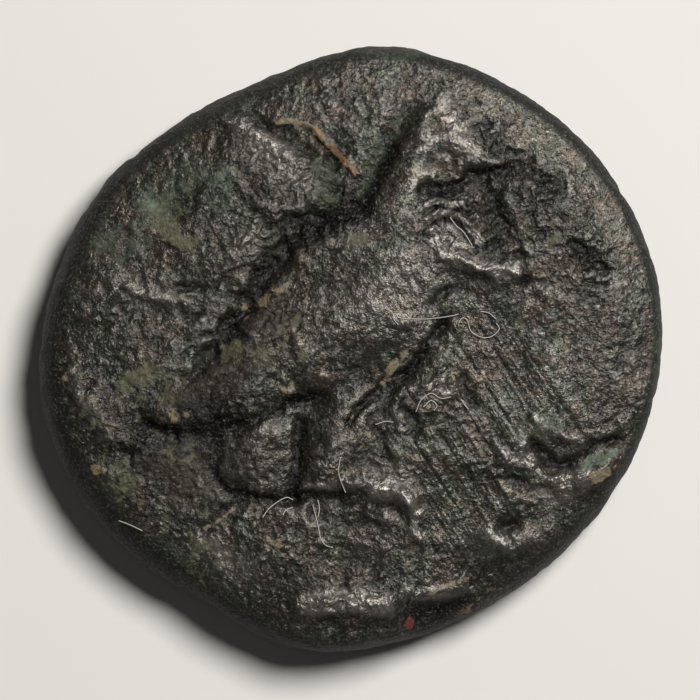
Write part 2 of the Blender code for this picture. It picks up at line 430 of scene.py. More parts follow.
@dataclass(frozen=True)
class Figures:
    """What the two dies struck, as in the CAD solid, but with the eagle's head, neck and tail worn lower."""

    eagle_height: float = 0.2
    stroke_height: float = 0.05
    groove_depth: float = 0.06
    cup_height: float = 0.15

    eagle: tuple[Lobe, ...] = (
        Lobe((1.45, 4.25), 0.74, (2.0, 4.05), 0.62, 0.66),
        Lobe((2.1, 3.95), 0.48, (2.95, 3.7), 0.24, 0.5),
        Lobe((1.25, 3.8), 0.74, (0.95, 2.6), 0.9, 0.64),
        Lobe((0.95, 2.3), 1.2, (0.55, 1.7), 1.62, 0.88),
        Lobe((1.0, 1.6), 1.32, (0.6, 0.9), 1.56, 0.96),
        Lobe((0.4, 0.8), 1.68, (-0.7, 0.0), 1.5, 0.96),
        Lobe((-0.6, 0.3), 1.32, (-2.2, -0.8), 0.94, 0.82),
        Lobe((-2.2, -0.85), 0.86, (-3.75, -1.25), 0.48, 0.52),
        Lobe((-0.05, -1.1), 0.79, (-0.4, -2.3), 0.72, 0.66),
        Lobe((-1.75, -1.75), 0.66, (-1.95, -2.35), 0.82, 0.62),
        Lobe((-0.5, -2.45), 0.5, (1.15, -3.0), 0.31, 0.6),
    )
    cup: tuple[Lobe, ...] = (
        Lobe((-0.2, 0.55), 2.04, (-0.2, -0.45), 1.44),
        Lobe((-1.85, 1.95), 0.5, (1.45, 1.95), 0.5),
        Lobe((-0.95, -2.0), 0.5, (0.55, -2.0), 0.5),
    )
    cup_handle: Line = Line(1.0, 0.32, ((1.3, 1.3), (2.3, 1.2), (2.45, 0.25), (1.25, -0.4)))

    def grooves(self) -> tuple[Line, ...]:
        """The hollows that outline the eagle, and two in the field.

        Returns:
            The grooves.
        """
        routes = (
            (0.22, ((1.25, 4.75), (0.8, 4.2), (0.5, 3.6), (0.1, 2.9))),
            (0.21, ((1.75, 3.2), (2.3, 3.32), (3.0, 3.45), (3.5, 3.55))),
            (0.24, ((-0.4, 2.7), (-1.05, 2.2), (-1.55, 1.55), (-2.0, 0.95),
                    (-2.4, 0.4), (-3.0, -0.3))),
            (0.16, ((1.9, 0.6), (1.7, 0.1), (1.35, -0.3), (0.85, -0.75), (0.55, -1.2))),
            (0.18, ((-4.0, -1.6), (-3.3, -1.8), (-2.5, -1.62), (-1.6, -1.35), (-0.8, -1.05))),
            (0.2, ((-2.75, -1.85), (-2.85, -2.25), (-2.5, -2.75), (-1.9, -3.0), (-1.2, -3.0))),
            (0.16, ((-1.0, -1.5), (-1.02, -2.0), (-1.1, -2.5), (-1.15, -3.0))),
            (0.18, ((-1.15, -3.0), (-0.3, -3.0), (0.5, -3.2), (1.35, -3.5))),
            (0.18, ((3.7, -2.0), (4.1, -2.35), (4.6, -2.25), (5.05, -1.95), (5.35, -1.85))),
            (0.2, ((-1.75, 4.5), (-1.25, 4.2), (-0.8, 3.85))),
        )
        return tuple(Line(-self.groove_depth, half_width, points) for half_width, points in routes)

    def strokes(self) -> tuple[Line, ...]:
        """Raised strokes in the field, all that is left of a worn border and lettering.

        Returns:
            The strokes.
        """
        routes = (
            (0.28, ((-2.45, 4.65), (-1.95, 4.32), (-1.3, 3.8))),
            (0.3, ((2.0, 1.8), (2.5, 1.6), (3.2, 1.45))),
            (0.32, ((-0.9, -5.35), (-0.1, -5.05), (1.0, -5.15))),
            (0.28, ((2.7, -3.65), (3.1, -3.92), (3.7, -3.75), (4.3, -3.4))),
            (0.26, ((3.05, -2.2), (3.25, -1.85), (3.6, -1.95))),
            (0.28, ((4.3, -2.8), (4.8, -2.6), (5.3, -2.3))),
            (0.28, ((-5.1, -1.15), (-4.7, -1.6), (-4.2, -2.1))),
        )
        return tuple(Line(self.stroke_height, half_width, points) for half_width, points in routes)

    def melded(self, heights: list[Array], sharpness: int = 4) -> Array:
        """Swellings run together into one body."""
        return sum(height ** sharpness for height in heights) ** (1 / sharpness)

    def obverse(self, x: Array, y: Array) -> Array:
        """The height that the eagle's die gives."""
        eagle = self.eagle_height * self.melded([lobe.at(x, y) for lobe in self.eagle])
        return eagle + total(self.grooves(), x, y) + total(self.strokes(), x, y)

    def reverse(self, x: Array, y: Array) -> Array:
        """The height of the cup on the hidden side."""
        shapes = [lobe.at(x, y) for lobe in self.cup] + [self.cup_handle.at(x, y)]
        return self.cup_height * self.melded(shapes)


@dataclass(frozen=True)
class Wear:
    """What use and burial left on the eagle side: finer forms, pits, scratches and grain."""

    grain: Grain = Grain()

    # Where the surface is rougher (above 0) or smoother (below 0) than the rest.
    roughness: tuple[Spot, ...] = (
        Spot(-0.6, (0.6, 1.0), 1.6, 1.0, 40),
        Spot(-0.7, (3.7, -0.6), 2.2, 1.2, SCRATCH_DEGREES),
        Spot(-0.6, (2.2, -3.3), 2.0, 1.0, SCRATCH_DEGREES),
        Spot(-0.5, (3.4, 4.7), 2.4, 0.5, -42),
        Spot(-0.4, (5.3, 2.2), 1.4, 0.4, -70),
        Spot(-0.3, (-2.6, -4.3), 1.5, 0.6, -40),
        Spot(-0.6, (1.3, 3.7), 1.1, 0.55, 70),
        Spot(-0.3, (-3.6, 3.3), 1.6, 0.6, 45),
        Spot(0.8, (-1.2, 3.2), 1.1, 0.8, -35),
        Spot(0.8, (-0.9, 2.2), 0.9, 0.6, 50),
        Spot(0.7, (-2.3, 1.2), 1.2, 0.7, 55),
        Spot(0.7, (-2.9, -0.9), 1.6, 0.9, 25),
        Spot(0.6, (2.0, 2.5), 0.6, 0.6),
        Spot(0.6, (3.2, 2.5), 0.8, 1.1, -30),
        Spot(0.5, (1.4, -1.2), 0.9, 0.5),
        Spot(0.4, (-1.3, -3.2), 1.0, 0.5),
        Spot(0.5, (-5.0, -1.4), 0.6, 1.2, 25),
        Spot(0.3, (4.5, -2.4), 0.9, 0.5, 20),
    )

    # Where the surface is wrinkled like crumpled foil.
    crumpled: tuple[Spot, ...] = (
        Spot(1.0, (2.0, 2.5), 0.55, 0.6),
        Spot(0.8, (-0.85, 3.35), 0.8, 0.45, -35),
        Spot(0.7, (-1.9, 2.1), 0.65, 0.4, 50),
        Spot(0.6, (-1.6, 0.6), 0.7, 0.45, 60),
        Spot(0.7, (1.7, -0.85), 0.7, 0.4),
        Spot(0.5, (0.9, -2.5), 0.6, 0.4, -30),
        Spot(0.4, (-0.6, -2.3), 0.6, 0.4),
        Spot(0.6, (-5.1, -1.2), 0.35, 1.0, 25),
        Spot(0.5, (4.4, -2.6), 0.9, 0.25, 15),
        Spot(0.45, (3.6, 2.6), 0.9, 0.8, -40),
        Spot(0.45, (4.8, 1.6), 0.5, 0.6),
        Spot(0.4, (2.8, 4.2), 0.4, 0.5, -45),
        Spot(0.4, (-4.8, 0.9), 0.45, 0.45),
        Spot(1.0, (0.0, -5.05), 1.1, 0.22),
        Spot(0.3, (-1.2, -3.9), 0.7, 0.3),
        Spot(0.4, (2.7, -2.4), 0.7, 0.3, -20),
    )

    # What the light picks out of the worn relief, as ridges and hollows with their heights.
    forms: tuple[Line | Spot, ...] = (
        # the neck and the head
        Spot(0.03, (1.5, 3.95), 0.55, 0.4, 60),
        Line(0.035, 0.22, ((1.63, 4.8), (2.12, 4.4), (2.42, 4.0))),
        Line(-0.04, 0.22, ((2.6, 4.4), (2.95, 4.1), (3.28, 3.85))),
        Line(-0.025, 0.06, ((1.75, 3.82), (1.95, 3.92))),
        Line(-0.045, 0.08, ((1.45, 3.12), (1.89, 3.22), (2.48, 3.46), (3.01, 3.58), (3.54, 3.66))),
        Line(0.04, 0.14, ((1.6, 3.38), (2.1, 3.5), (2.6, 3.68))),
        # the crumpled patch in front of the neck, and the hollow beside it
        *(Line(0.035, 0.06, fold) for fold in NECK_FOLDS),
        Line(-0.04, 0.06, ((1.58, 2.5), (1.9, 2.58), (2.25, 2.34))),
        Line(-0.04, 0.06, ((1.56, 2.74), (1.9, 2.82), (2.3, 2.66))),
        Line(-0.09, 0.26, ((2.7, 3.1), (2.9, 2.6), (3.0, 2.1))),
        # the edge of the breast, and the field before it
        Line(0.06, 0.12, ((1.85, 1.9), (2.42, 1.7), (2.88, 1.57), (3.28, 1.56))),
        Line(-0.07, 0.1, ((3.3, 1.85), (3.48, 1.58), (3.45, 1.3))),
        Line(-0.055, 0.12, ((1.65, 0.95), (2.0, 1.22), (2.6, 1.3))),
        Line(-0.045, 0.14, ((3.75, 3.5), (4.05, 3.3), (4.2, 3.05))),
        Line(-0.045, 0.1, ((4.05, 2.85), (4.25, 2.6))),
        Line(-0.05, 0.12, ((4.4, 2.1), (4.75, 1.75), (5.05, 1.62))),
        Line(-0.035, 0.1, ((3.6, 2.6), (3.8, 2.2))),
        # the field behind the neck
        Line(0.05, 0.16, ((-2.46, 4.6), (-1.93, 4.33), (-1.55, 4.05), (-1.25, 3.86))),
        Line(-0.035, 0.13, ((-1.9, 4.52), (-1.5, 4.28), (-1.1, 4.0), (-0.85, 3.95))),
        Line(0.035, 0.06, ((-1.4, 4.53), (-0.81, 4.43), (-0.48, 4.13), (-0.15, 3.8), (0.11, 3.5))),
        Line(-0.045, 0.07, ((-1.4, 4.43), (-0.87, 4.32), (-0.57, 4.04), (-0.24, 3.7))),
        Spot(0.045, (-1.2, 3.5), 0.14, 0.1, 30),
        Spot(0.045, (-0.85, 3.35), 0.12, 0.1),
        Spot(0.04, (-0.6, 3.62), 0.1, 0.12),
        Spot(0.04, (-1.15, 3.12), 0.14, 0.1, -30),
        Spot(0.04, (-0.75, 2.98), 0.12, 0.08, 20),
        Spot(0.045, (-1.5, 2.85), 0.16, 0.1, -20),
        Line(-0.07, 0.18, ((-0.3, 3.85), (-0.45, 3.45), (-0.35, 3.1))),
        Line(-0.06, 0.12, ((-1.95, 2.65), (-1.45, 2.45), (-1.0, 2.6))),
        # the back, the wing and the tail
        Line(-0.13, 0.26, ((-0.7, 2.55), (-1.25, 2.05), (-1.75, 1.45), (-2.1, 0.9), (-2.45, 0.35))),
        Line(-0.05, 0.2, ((-2.45, 0.35), (-2.85, -0.15), (-3.2, -0.7))),
        Line(-0.06, 0.12, ((0.05, 2.85), (-0.35, 2.65), (-0.75, 2.6))),
        Spot(0.04, (-1.72, 0.78), 0.14, 0.09, 60),
        Spot(0.04, (-1.42, 0.3), 0.12, 0.09, 50),
        Spot(0.035, (-1.05, 0.05), 0.1, 0.08),
        Spot(0.035, (-1.95, 0.3), 0.12, 0.08, 40),
        Line(-0.035, 0.2, ((-4.0, -1.66), (-3.6, -1.7), (-3.2, -1.64), (-2.8, -1.6))),
        Line(-0.02, 0.07, ((-2.3, -1.53), (-1.9, -1.44), (-1.53, -1.27), (-1.2, -1.06))),
        Line(-0.045, 0.12, ((-1.14, -1.02), (-0.85, -0.93), (-0.61, -0.94))),
        Line(0.03, 0.16, ((-2.6, -1.62), (-1.6, -1.35), (-1.2, -1.2))),
        # the legs and the line that the eagle stands on
        Line(0.06, 0.2, ((0.1, -3.08), (0.5, -3.18), (1.0, -3.36), (1.35, -3.52))),
        Line(-0.02, 0.08, ((-2.72, -2.25), (-2.7, -2.5), (-2.45, -2.78), (-1.95, -2.92))),
        Line(-0.035, 0.1, ((-0.98, -1.5), (-1.0, -2.0), (-1.08, -2.45), (-1.14, -2.85))),
        Line(-0.035, 0.06, ((-1.93, -2.93), (-1.27, -2.98), (-0.75, -2.95))),
        Line(0.045, 0.1, ((-0.9, -2.8), (-0.4, -2.74), (0.0, -2.72))),
        Line(0.055, 0.15, ((0.45, -2.8), (0.9, -2.82), (1.15, -3.02), (1.32, -3.25))),
        Line(-0.035, 0.16, ((-2.9, -3.6), (-2.6, -3.35), (-2.3, -3.15))),
        Line(-0.04, 0.14, ((-0.8, -3.3), (-0.3, -3.4), (0.3, -3.5))),
        Line(0.03, 0.1, ((-0.6, -2.0), (-0.3, -1.9))),
        # the belly
        Line(-0.065, 0.09, BELLY_LINE),
        Line(0.045, 0.1, ((1.55, -0.75), (1.8, -0.6), (2.1, -0.75))),
        Line(-0.05, 0.14, ((1.05, -1.2), (1.25, -1.65))),
        Line(-0.045, 0.1, ((0.45, -1.45), (0.7, -1.85), (0.8, -2.3))),
        Line(-0.045, 0.1, ((2.2, -0.45), (2.3, -0.8), (2.45, -1.1))),
        # the field on the left
        Line(0.04, 0.12, ((-4.44, 1.25), (-3.9, 1.1), (-3.38, 0.92))),
        Line(-0.05, 0.1, ((-3.5, 1.3), (-3.1, 1.2), (-2.7, 1.18))),
        Line(-0.04, 0.1, ((-3.4, 0.78), (-3.05, 0.7))),
        Line(0.04, 0.16, ((-5.5, -0.5), (-5.2, -1.1), (-4.8, -1.65))),
        Line(0.04, 0.12, ((-4.95, -2.45), (-4.6, -2.62))),
        Line(-0.035, 0.12, ((-4.55, -1.95), (-4.3, -2.3))),
        # the field on the right and the lower edge
        Line(-0.05, 0.11, ((3.65, -1.8), (3.82, -2.1), (4.12, -2.3), (4.55, -2.2),
                            (4.85, -1.95), (5.2, -1.78))),
        Line(0.05, 0.14, ((3.75, -1.45), (4.1, -1.6), (4.4, -1.8))),
        Line(0.05, 0.14, ((3.6, -2.45), (4.1, -2.62), (4.7, -2.5), (5.1, -2.3))),
        Line(0.04, 0.14, ((2.95, -1.95), (3.2, -2.2), (3.6, -2.3))),
        Line(-0.05, 0.1, ((3.25, -2.6), (3.6, -2.75), (4.0, -2.85))),
        Spot(-0.08, (3.14, -3.55), 0.28, 0.18, 20),
        Line(0.028, 0.14, ((2.8, -3.7), (3.1, -3.92), (3.45, -3.85), (3.7, -3.7))),
        Line(0.045, 0.16, ((-0.75, -5.08), (-0.4, -5.02), (0.2, -5.03), (0.8, -5.15))),
        Line(-0.05, 0.1, ((-0.1, -4.8), (0.05, -4.9))),
        Line(0.05, 0.1, ((1.25, -5.05), (1.56, -4.9), (2.22, -4.6))),
    )

    # Where fine scratches run across the field.
    brushed: tuple[Spot, ...] = (
        Spot(0.75, (3.1, -0.8), 2.6, 1.4, SCRATCH_DEGREES),
        Spot(0.75, (1.9, -2.9), 1.9, 1.0, SCRATCH_DEGREES),
    )

    # How strong and how uneven the forms above are, and how far chance bends them.
    form_strength: float = 1.2
    form_unevenness: float = 0.8
    uneven_length: float = 0.45
    bend: float = 0.1
    bend_length: float = 0.5

    # The heights and lengths of the smaller relief, and the share of the sand that lies everywhere.
    rolling_height: float = 0.04
    rolling_length: float = 1.6
    crumple_height: float = 0.11
    crumple_length: float = 0.4
    crumple_squash: float = 1.5
    crust_height: float = 0.034
    crust_length: float = 0.42
    sand_height: float = 0.008
    sand_length: float = 0.16
    sand_everywhere: float = 0.6
    pit_depth: float = 0.03
    pit_length: float = 0.38
    pit_between: Point = (0.45, 1.1)
    scratch_depth: float = 0.013
    scratch_width: float = 0.17
    scratch_length: float = 6.0
    usual_roughness: float = 0.85
    least_roughness: float = 0.1

    def rough(self, x: Array, y: Array) -> Array:
        """How rough the surface is, from the least where it is worn smooth to over 1."""
        return np.maximum(self.usual_roughness + total(self.roughness, x, y), self.least_roughness)

    def shape(self, x: Array, y: Array) -> Array:
        """The height that wear adds or takes, in millimetres.

        Args:
            x: places to the right, in millimetres.
            y: places up, in millimetres.

        Returns:
            The height at each place.
        """
        grain = self.grain
        rough = self.rough(x, y)
        bent_x, bent_y = (
            place + self.bend * grain.rough(x, y, self.bend_length, layer, octaves=4)
            for place, layer in ((x, Layer.BEND_RIGHT), (y, Layer.BEND_UP)))
        uneven = self.form_unevenness * grain.rough(x, y, self.uneven_length, Layer.UNEVENNESS)
        forms = (self.form_strength + uneven) * total(self.forms, bent_x, bent_y)
        rolling = self.rolling_height * grain.rough(x, y, self.rolling_length, Layer.ROLLING)
        crust = self.crust_height * rough * grain.crumbs(bent_x, bent_y, self.crust_length, Layer.CRUST)
        crumple = self.crumple_height * total(self.crumpled, x, y)
        squashed_y = self.crumple_squash * bent_y
        crumple *= grain.crumbs(bent_x, squashed_y, self.crumple_length, Layer.CRUMPLES, octaves=3)
        sand = self.sand_height * (self.sand_everywhere + (1 - self.sand_everywhere) * rough)
        sand *= grain.rough(x, y, self.sand_length, Layer.SAND, octaves=2)
        pits = grain.rough(bent_x, bent_y, self.pit_length, Layer.PITS, octaves=4)
        pits = self.pit_depth * rough * step_between(pits, *self.pit_between)
        scratches = self.scratch_depth * total(self.brushed, x, y) * grain.streaks(
            x, y, SCRATCH_DEGREES, self.scratch_width, self.scratch_length, Layer.SCRATCHES)
        return forms + rolling + crust + crumple + sand + scratches - pits


class Stain(Enum):
    """What covers or bares the skin, and the shade and highlights painted over it, each kind with the mesh
    attribute that holds where it lies.
    """

    GREEN = "stain_green"
    OLIVE = "stain_olive"
    OCHRE = "stain_ochre"
    RUST = "stain_rust"
    CUPRITE = "stain_cuprite"
    DIRT = "stain_dirt"
    # Painted shade: a very dark colour in grooves and hollows and over slopes that turn from the lamp.
    BLACK = "painted_shade_black"
    VERDIGRIS = "stain_verdigris"
    # Rubbed metal, and painted highlights on ridges, folds and slopes that face the lamp.
    BARE_AND_HIGHLIGHT = "rubbed_bare_and_painted_highlight"


@dataclass(frozen=True)
class Stains:
    """Where corrosion and dirt lie on the eagle side and on the slope round it, and where shade and
    highlights are painted on it.
    """

    green: tuple[Spot | Line, ...] = (
        Spot(0.48, (-4.3, 2.2), 1.3, 0.8, 60),
        Spot(0.44, (-3.4, 3.2), 1.2, 0.6, 45),
        Spot(0.6, (-3.2, -4.2), 1.6, 0.6, -40),
        Spot(0.35, (-3.6, -0.8), 0.9, 0.5),
        Spot(0.35, (3.0, 2.6), 0.8, 0.5),
        Spot(0.9, (-0.45, 3.05), 0.45, 0.3, 60),
        Spot(0.8, (-0.55, 3.6), 0.3, 0.4, 60),
        Line(0.7, 0.22, ((1.15, 4.8), (0.95, 4.4), (0.57, 3.8), (0.24, 3.14))),
        Spot(0.6, (-3.8, 2.8), 0.4, 0.25),
        Spot(0.7, (-2.5, 3.4), 0.45, 0.3),
        Spot(0.6, (-2.6, 2.8), 0.3, 0.2),
        Spot(0.6, (-5.0, 2.1), 0.35, 0.35),
        Spot(0.6, (-2.1, 4.9), 0.45, 0.25),
        Spot(0.8, (0.8, 5.95), 1.2, 0.25),
        Spot(0.8, (6.2, 0.0), 0.2, 1.6),
        Spot(0.9, (3.95, -1.55), 0.45, 0.32),
        Spot(0.4, (3.4, -1.3), 0.3, 0.6),
        Spot(0.5, (1.8, 1.2), 0.6, 0.25, 20),
    )
    olive: tuple[Spot | Line, ...] = (
        Spot(0.55, (-3.9, -1.2), 1.2, 0.7, -30),
        Spot(0.75, (-4.6, -2.5), 0.9, 0.45, -50),
        Spot(0.55, (-1.5, 0.2), 1.0, 0.5, 55),
        Spot(0.58, (-3.0, -3.9), 1.4, 0.5, -35),
        Spot(0.45, (-3.6, 2.8), 1.2, 0.5, 45),
        Spot(0.75, (-3.4, -2.15), 0.5, 0.25),
        Spot(0.9, (-3.6, 4.55), 0.4, 0.12, 35),
        Spot(0.8, (-4.35, 4.2), 0.3, 0.12, 40),
        Spot(1.0, (-2.75, 5.1), 0.22, 0.1, 30),
        Spot(0.8, (3.0, -4.95), 0.5, 0.2, 30),
        Spot(1.2, (-1.8, -0.15), 0.1, 0.14, 20),
        Spot(1.2, (-0.95, -0.15), 0.1, 0.12),
        Spot(1.2, (-2.3, 0.12), 0.12, 0.09, 30),
        Spot(1.1, (-1.1, 0.55), 0.12, 0.08, 60),
        Spot(2.4, (-3.4, 2.25), 0.36, 0.17, -20),
        Spot(0.4, (-3.95, 2.75), 0.3, 0.3),
        Spot(0.8, (-4.1, -0.5), 0.35, 0.25),
        Spot(0.7, (-3.5, -0.7), 0.4, 0.2),
        Spot(1.0, (-4.5, -0.75), 0.26, 0.16),
        Spot(2.0, (4.1, 2.2), 0.14, 0.1, 40),
        Spot(1.6, (0.15, 2.2), 0.18, 0.14),
        Spot(0.6, (3.3, 0.6), 0.3, 0.18),
        Spot(0.8, (-2.4, -0.1), 0.4, 0.25),
        Spot(0.75, (-5.2, -1.3), 0.5, 0.3, -40),
    )
    ochre: tuple[Spot | Line, ...] = (
        Spot(1.3, (-1.5, -3.85), 0.28, 0.1, -30),
        Spot(1.2, (-5.6, -0.5), 0.16, 0.12, 30),
        Spot(1.0, (-5.2, -1.05), 0.2, 0.08, 20),
        Spot(1.0, (-3.55, -1.3), 0.1, 0.22, 25),
        Spot(1.1, (-1.75, 0.95), 0.1, 0.16, -30),
        Spot(1.1, (-1.3, 1.25), 0.14, 0.07, 40),
        Spot(1.2, (-4.95, -2.45), 0.4, 0.07, -28),
        Spot(1.0, (-1.45, 0.15), 0.09, 0.14, 10),
        Spot(1.2, (-0.97, 1.85), 0.13, 0.1),
        Spot(0.8, (-1.55, 1.1), 0.25, 0.15, 50),
        Spot(0.8, (-2.1, 0.75), 0.15, 0.25),
        Spot(0.8, (-3.3, -1.3), 0.2, 0.15),
        Spot(0.9, (-1.3, -0.8), 0.28, 0.16, 30),
        Spot(1.1, (0.9, -0.25), 0.3, 0.1, 48),
        Spot(1.0, (0.7, -0.6), 0.2, 0.12, 45),
        Spot(0.7, (2.0, -0.5), 0.3, 0.22, 30),
        Spot(0.9, (0.25, -1.8), 0.3, 0.1, 60),
        Spot(0.8, (0.05, -1.3), 0.2, 0.08, 60),
        Spot(0.7, (-1.6, -2.35), 0.12, 0.1),
        Spot(0.7, (2.7, -4.9), 0.5, 0.18, 20),
        Spot(1.6, (4.97, -2.52), 0.3, 0.14, 30),
        Spot(0.6, (-3.0, -4.6), 0.5, 0.15, -40),
        Spot(0.6, (-0.2, -4.9), 0.8, 0.1),
        Spot(0.6, (-4.95, -2.4), 0.35, 0.12, 30),
        Line(1.2, 0.06, ((1.45, -4.95), (1.75, -4.8), (2.22, -4.6))),
        Line(2.6, 0.05, ((-1.45, 4.54), (-1.1, 4.52), (-0.75, 4.4), (-0.45, 4.08))),
        Line(0.9, 0.06, ((-2.9, -3.58), (-2.6, -3.4), (-2.33, -3.18))),
        Line(0.5, 0.08, ((-3.2, -3.8), (-2.8, -3.7))),
        Line(0.8, 0.06, ((1.1, -0.05), (0.95, -0.25), (0.72, -0.55))),
    )
    rust: tuple[Spot | Line, ...] = (
        Line(2.1, 0.062, ((-0.7, 4.36), (-0.48, 4.13), (-0.15, 3.8), (0.11, 3.5))),
        Spot(0.8, (2.2, -4.65), 0.45, 0.1, 25),
        Spot(0.8, (2.3, -5.2), 0.4, 0.12, 25),
        Spot(0.7, (4.8, -3.15), 0.2, 0.12),
        Spot(0.6, (-5.25, 0.85), 0.15, 0.2),
        Spot(0.6, (-5.45, -0.6), 0.12, 0.2),
        Spot(0.6, (-5.5, -1.1), 0.12, 0.15),
        Spot(0.5, (-1.95, 5.3), 0.15, 0.08),
    )
    cuprite: tuple[Spot | Line, ...] = (
        Spot(1.6, (1.18, -5.48), 0.1, 0.13),
    )
    dirt: tuple[Spot | Line, ...] = (
        Spot(0.45, (-3.6, 1.2), 0.8, 0.5, -20),
        Spot(0.5, (-3.2, -1.2), 0.6, 0.35, 15),
        Spot(0.9, (-3.7, 4.75), 0.6, 0.25, 40),
        Spot(0.8, (-4.9, 3.6), 0.5, 0.25, 55),
        Spot(0.7, (-2.3, 5.25), 0.5, 0.2, 25),
        Spot(0.75, (-3.1, -1.9), 1.1, 0.45, 15),
        Spot(0.55, (-3.3, -0.9), 0.9, 0.5, 20),
        Spot(0.5, (-1.8, -0.1), 1.1, 0.6, 40),
        Spot(0.45, (-1.8, -2.4), 0.8, 0.6),
        Spot(0.4, (-0.4, -1.8), 0.6, 0.7),
        Spot(0.5, (-2.9, -3.0), 0.7, 0.5),
        Spot(0.4, (-3.4, -2.6), 0.9, 0.6),
        Spot(0.9, (-1.7, 1.4), 1.3, 0.35, 55),
        Spot(0.9, (-3.35, -2.1), 0.7, 0.2, 10),
        Spot(0.7, (-1.6, 0.8), 0.45, 0.45),
        Spot(0.7, (-2.8, -0.8), 0.9, 0.35, 40),
        Spot(0.6, (-2.6, -3.4), 0.5, 0.12, 38),
        Spot(0.6, (-2.3, 3.1), 0.08, 0.3),
        Spot(0.6, (0.7, -2.1), 0.6, 0.4),
    )
    # Painted shade, laid in the grooves round the eagle, under the jaw, among the neck's folds, over slopes
    # that turn from the lamp and along the left edge.
    black: tuple[Spot | Line, ...] = (
        Line(0.5, 0.14, ((-0.75, 4.34), (-0.48, 4.08), (-0.18, 3.74), (0.08, 3.44))),
        Line(0.5, 0.18, ((1.62, 4.75), (1.42, 4.3), (1.18, 3.75), (0.9, 3.15))),
        Spot(0.46, (-3.3, 2.7), 1.3, 0.8, 45),
        Spot(0.6, (3.7, 3.1), 0.7, 0.6, -40),
        Spot(0.55, (2.9, 4.2), 0.5, 0.6, -40),
        Spot(0.55, (4.5, 2.2), 0.6, 0.7),
        Spot(0.35, (3.0, 0.0), 1.9, 0.7, -10),
        Spot(0.4, (5.0, 0.6), 0.6, 1.2),
        Spot(0.9, (1.95, 2.75), 0.5, 0.45),
        Spot(1.8, (-3.3, -1.6), 1.1, 0.6, 15),
        Spot(0.35, (-2.1, -0.6), 1.2, 0.45, 30),
        Spot(0.35, (-1.8, -2.3), 0.7, 0.5),
        Spot(0.35, (-0.4, -1.9), 0.5, 0.6),
        Spot(0.5, (0.1, 2.9), 0.5, 0.4),
        Spot(0.4, (0.1, -0.9), 0.6, 0.3, 20),
        Line(0.7, 0.24, ((1.16, 4.75), (0.98, 4.4), (0.8, 4.05))),
        Line(1.2, 0.26, ((0.72, 3.9), (0.5, 3.5), (0.32, 3.14), (0.04, 2.75))),
        Line(1.0, 0.14, ((1.4, 3.1), (1.9, 3.2), (2.48, 3.43), (3.0, 3.56), (3.5, 3.62))),
        Line(1.1, 0.24, ((0.25, 2.85), (-0.3, 2.6), (-0.8, 2.35), (-1.3, 1.9), (-1.75, 1.4))),
        Line(1.0, 0.24, ((-1.75, 1.4), (-2.15, 0.8), (-2.6, 0.15))),
        Line(1.0, 0.1, BELLY_LINE),
        Line(0.9, 0.08, ((-2.8, -1.58), (-2.3, -1.53), (-1.53, -1.27), (-1.14, -1.0))),
        Line(1.2, 0.13, ((-1.2, -1.03), (-0.9, -0.93), (-0.61, -0.95))),
        Line(0.8, 0.22, ((-4.0, -1.66), (-3.6, -1.72), (-2.75, -1.62))),
        Line(1.1, 0.11, ((-1.0, -1.5), (-1.0, -2.0), (-1.08, -2.45), (-1.14, -2.95))),
        Line(0.8, 0.08, ((-2.74, -2.2), (-2.7, -2.5), (-2.45, -2.78), (-1.9, -2.93),
                         (-1.2, -2.99), (-0.7, -2.96))),
        Spot(2.5, (1.75, -5.25), 0.62, 0.24, 14),
        Spot(0.8, (2.85, 2.55), 0.28, 0.6, 10),
        Spot(0.8, (1.75, 2.95), 0.4, 0.14),
        Spot(0.7, (2.2, 1.15), 0.5, 0.18, 15),
        Spot(0.7, (-2.4, -3.05), 0.5, 0.2, 20),
        Spot(0.8, (-0.35, 3.25), 0.28, 0.45, 10),
        Spot(0.8, (-1.35, 2.45), 0.45, 0.16),
        Spot(0.7, (4.85, 1.75), 0.5, 0.14, -20),
        Spot(0.7, (3.95, 3.3), 0.35, 0.16, -40),
        Line(0.8, 0.09, ((3.65, -1.85), (3.82, -2.1), (4.12, -2.3), (4.55, -2.2),
                         (4.85, -1.95), (5.2, -1.78))),
        # Painted shade along the left and lower-left edge, the side that faces away from the lamp.
        Line(0.9, 0.45, ((-4.6, 4.2), (-5.6, 2.8), (-6.0, 1.2), (-6.15, -0.6), (-5.9, -2.4))),
        Line(0.9, 0.45, ((-5.9, -2.4), (-5.1, -3.7), (-4.2, -4.6), (-3.2, -5.3))),
    )
    verdigris: tuple[Spot | Line, ...] = (
        Spot(1.7, (4.93, -2.2), 0.42, 0.14, 25),
        Spot(0.7, (-2.5, 3.38), 0.34, 0.22, 60),
        Spot(0.65, (-3.95, 2.9), 0.34, 0.22, 60),
        Spot(0.5, (-4.5, -0.74), 0.16, 0.14),
        Spot(0.4, (4.1, -1.65), 0.3, 0.22),
    )
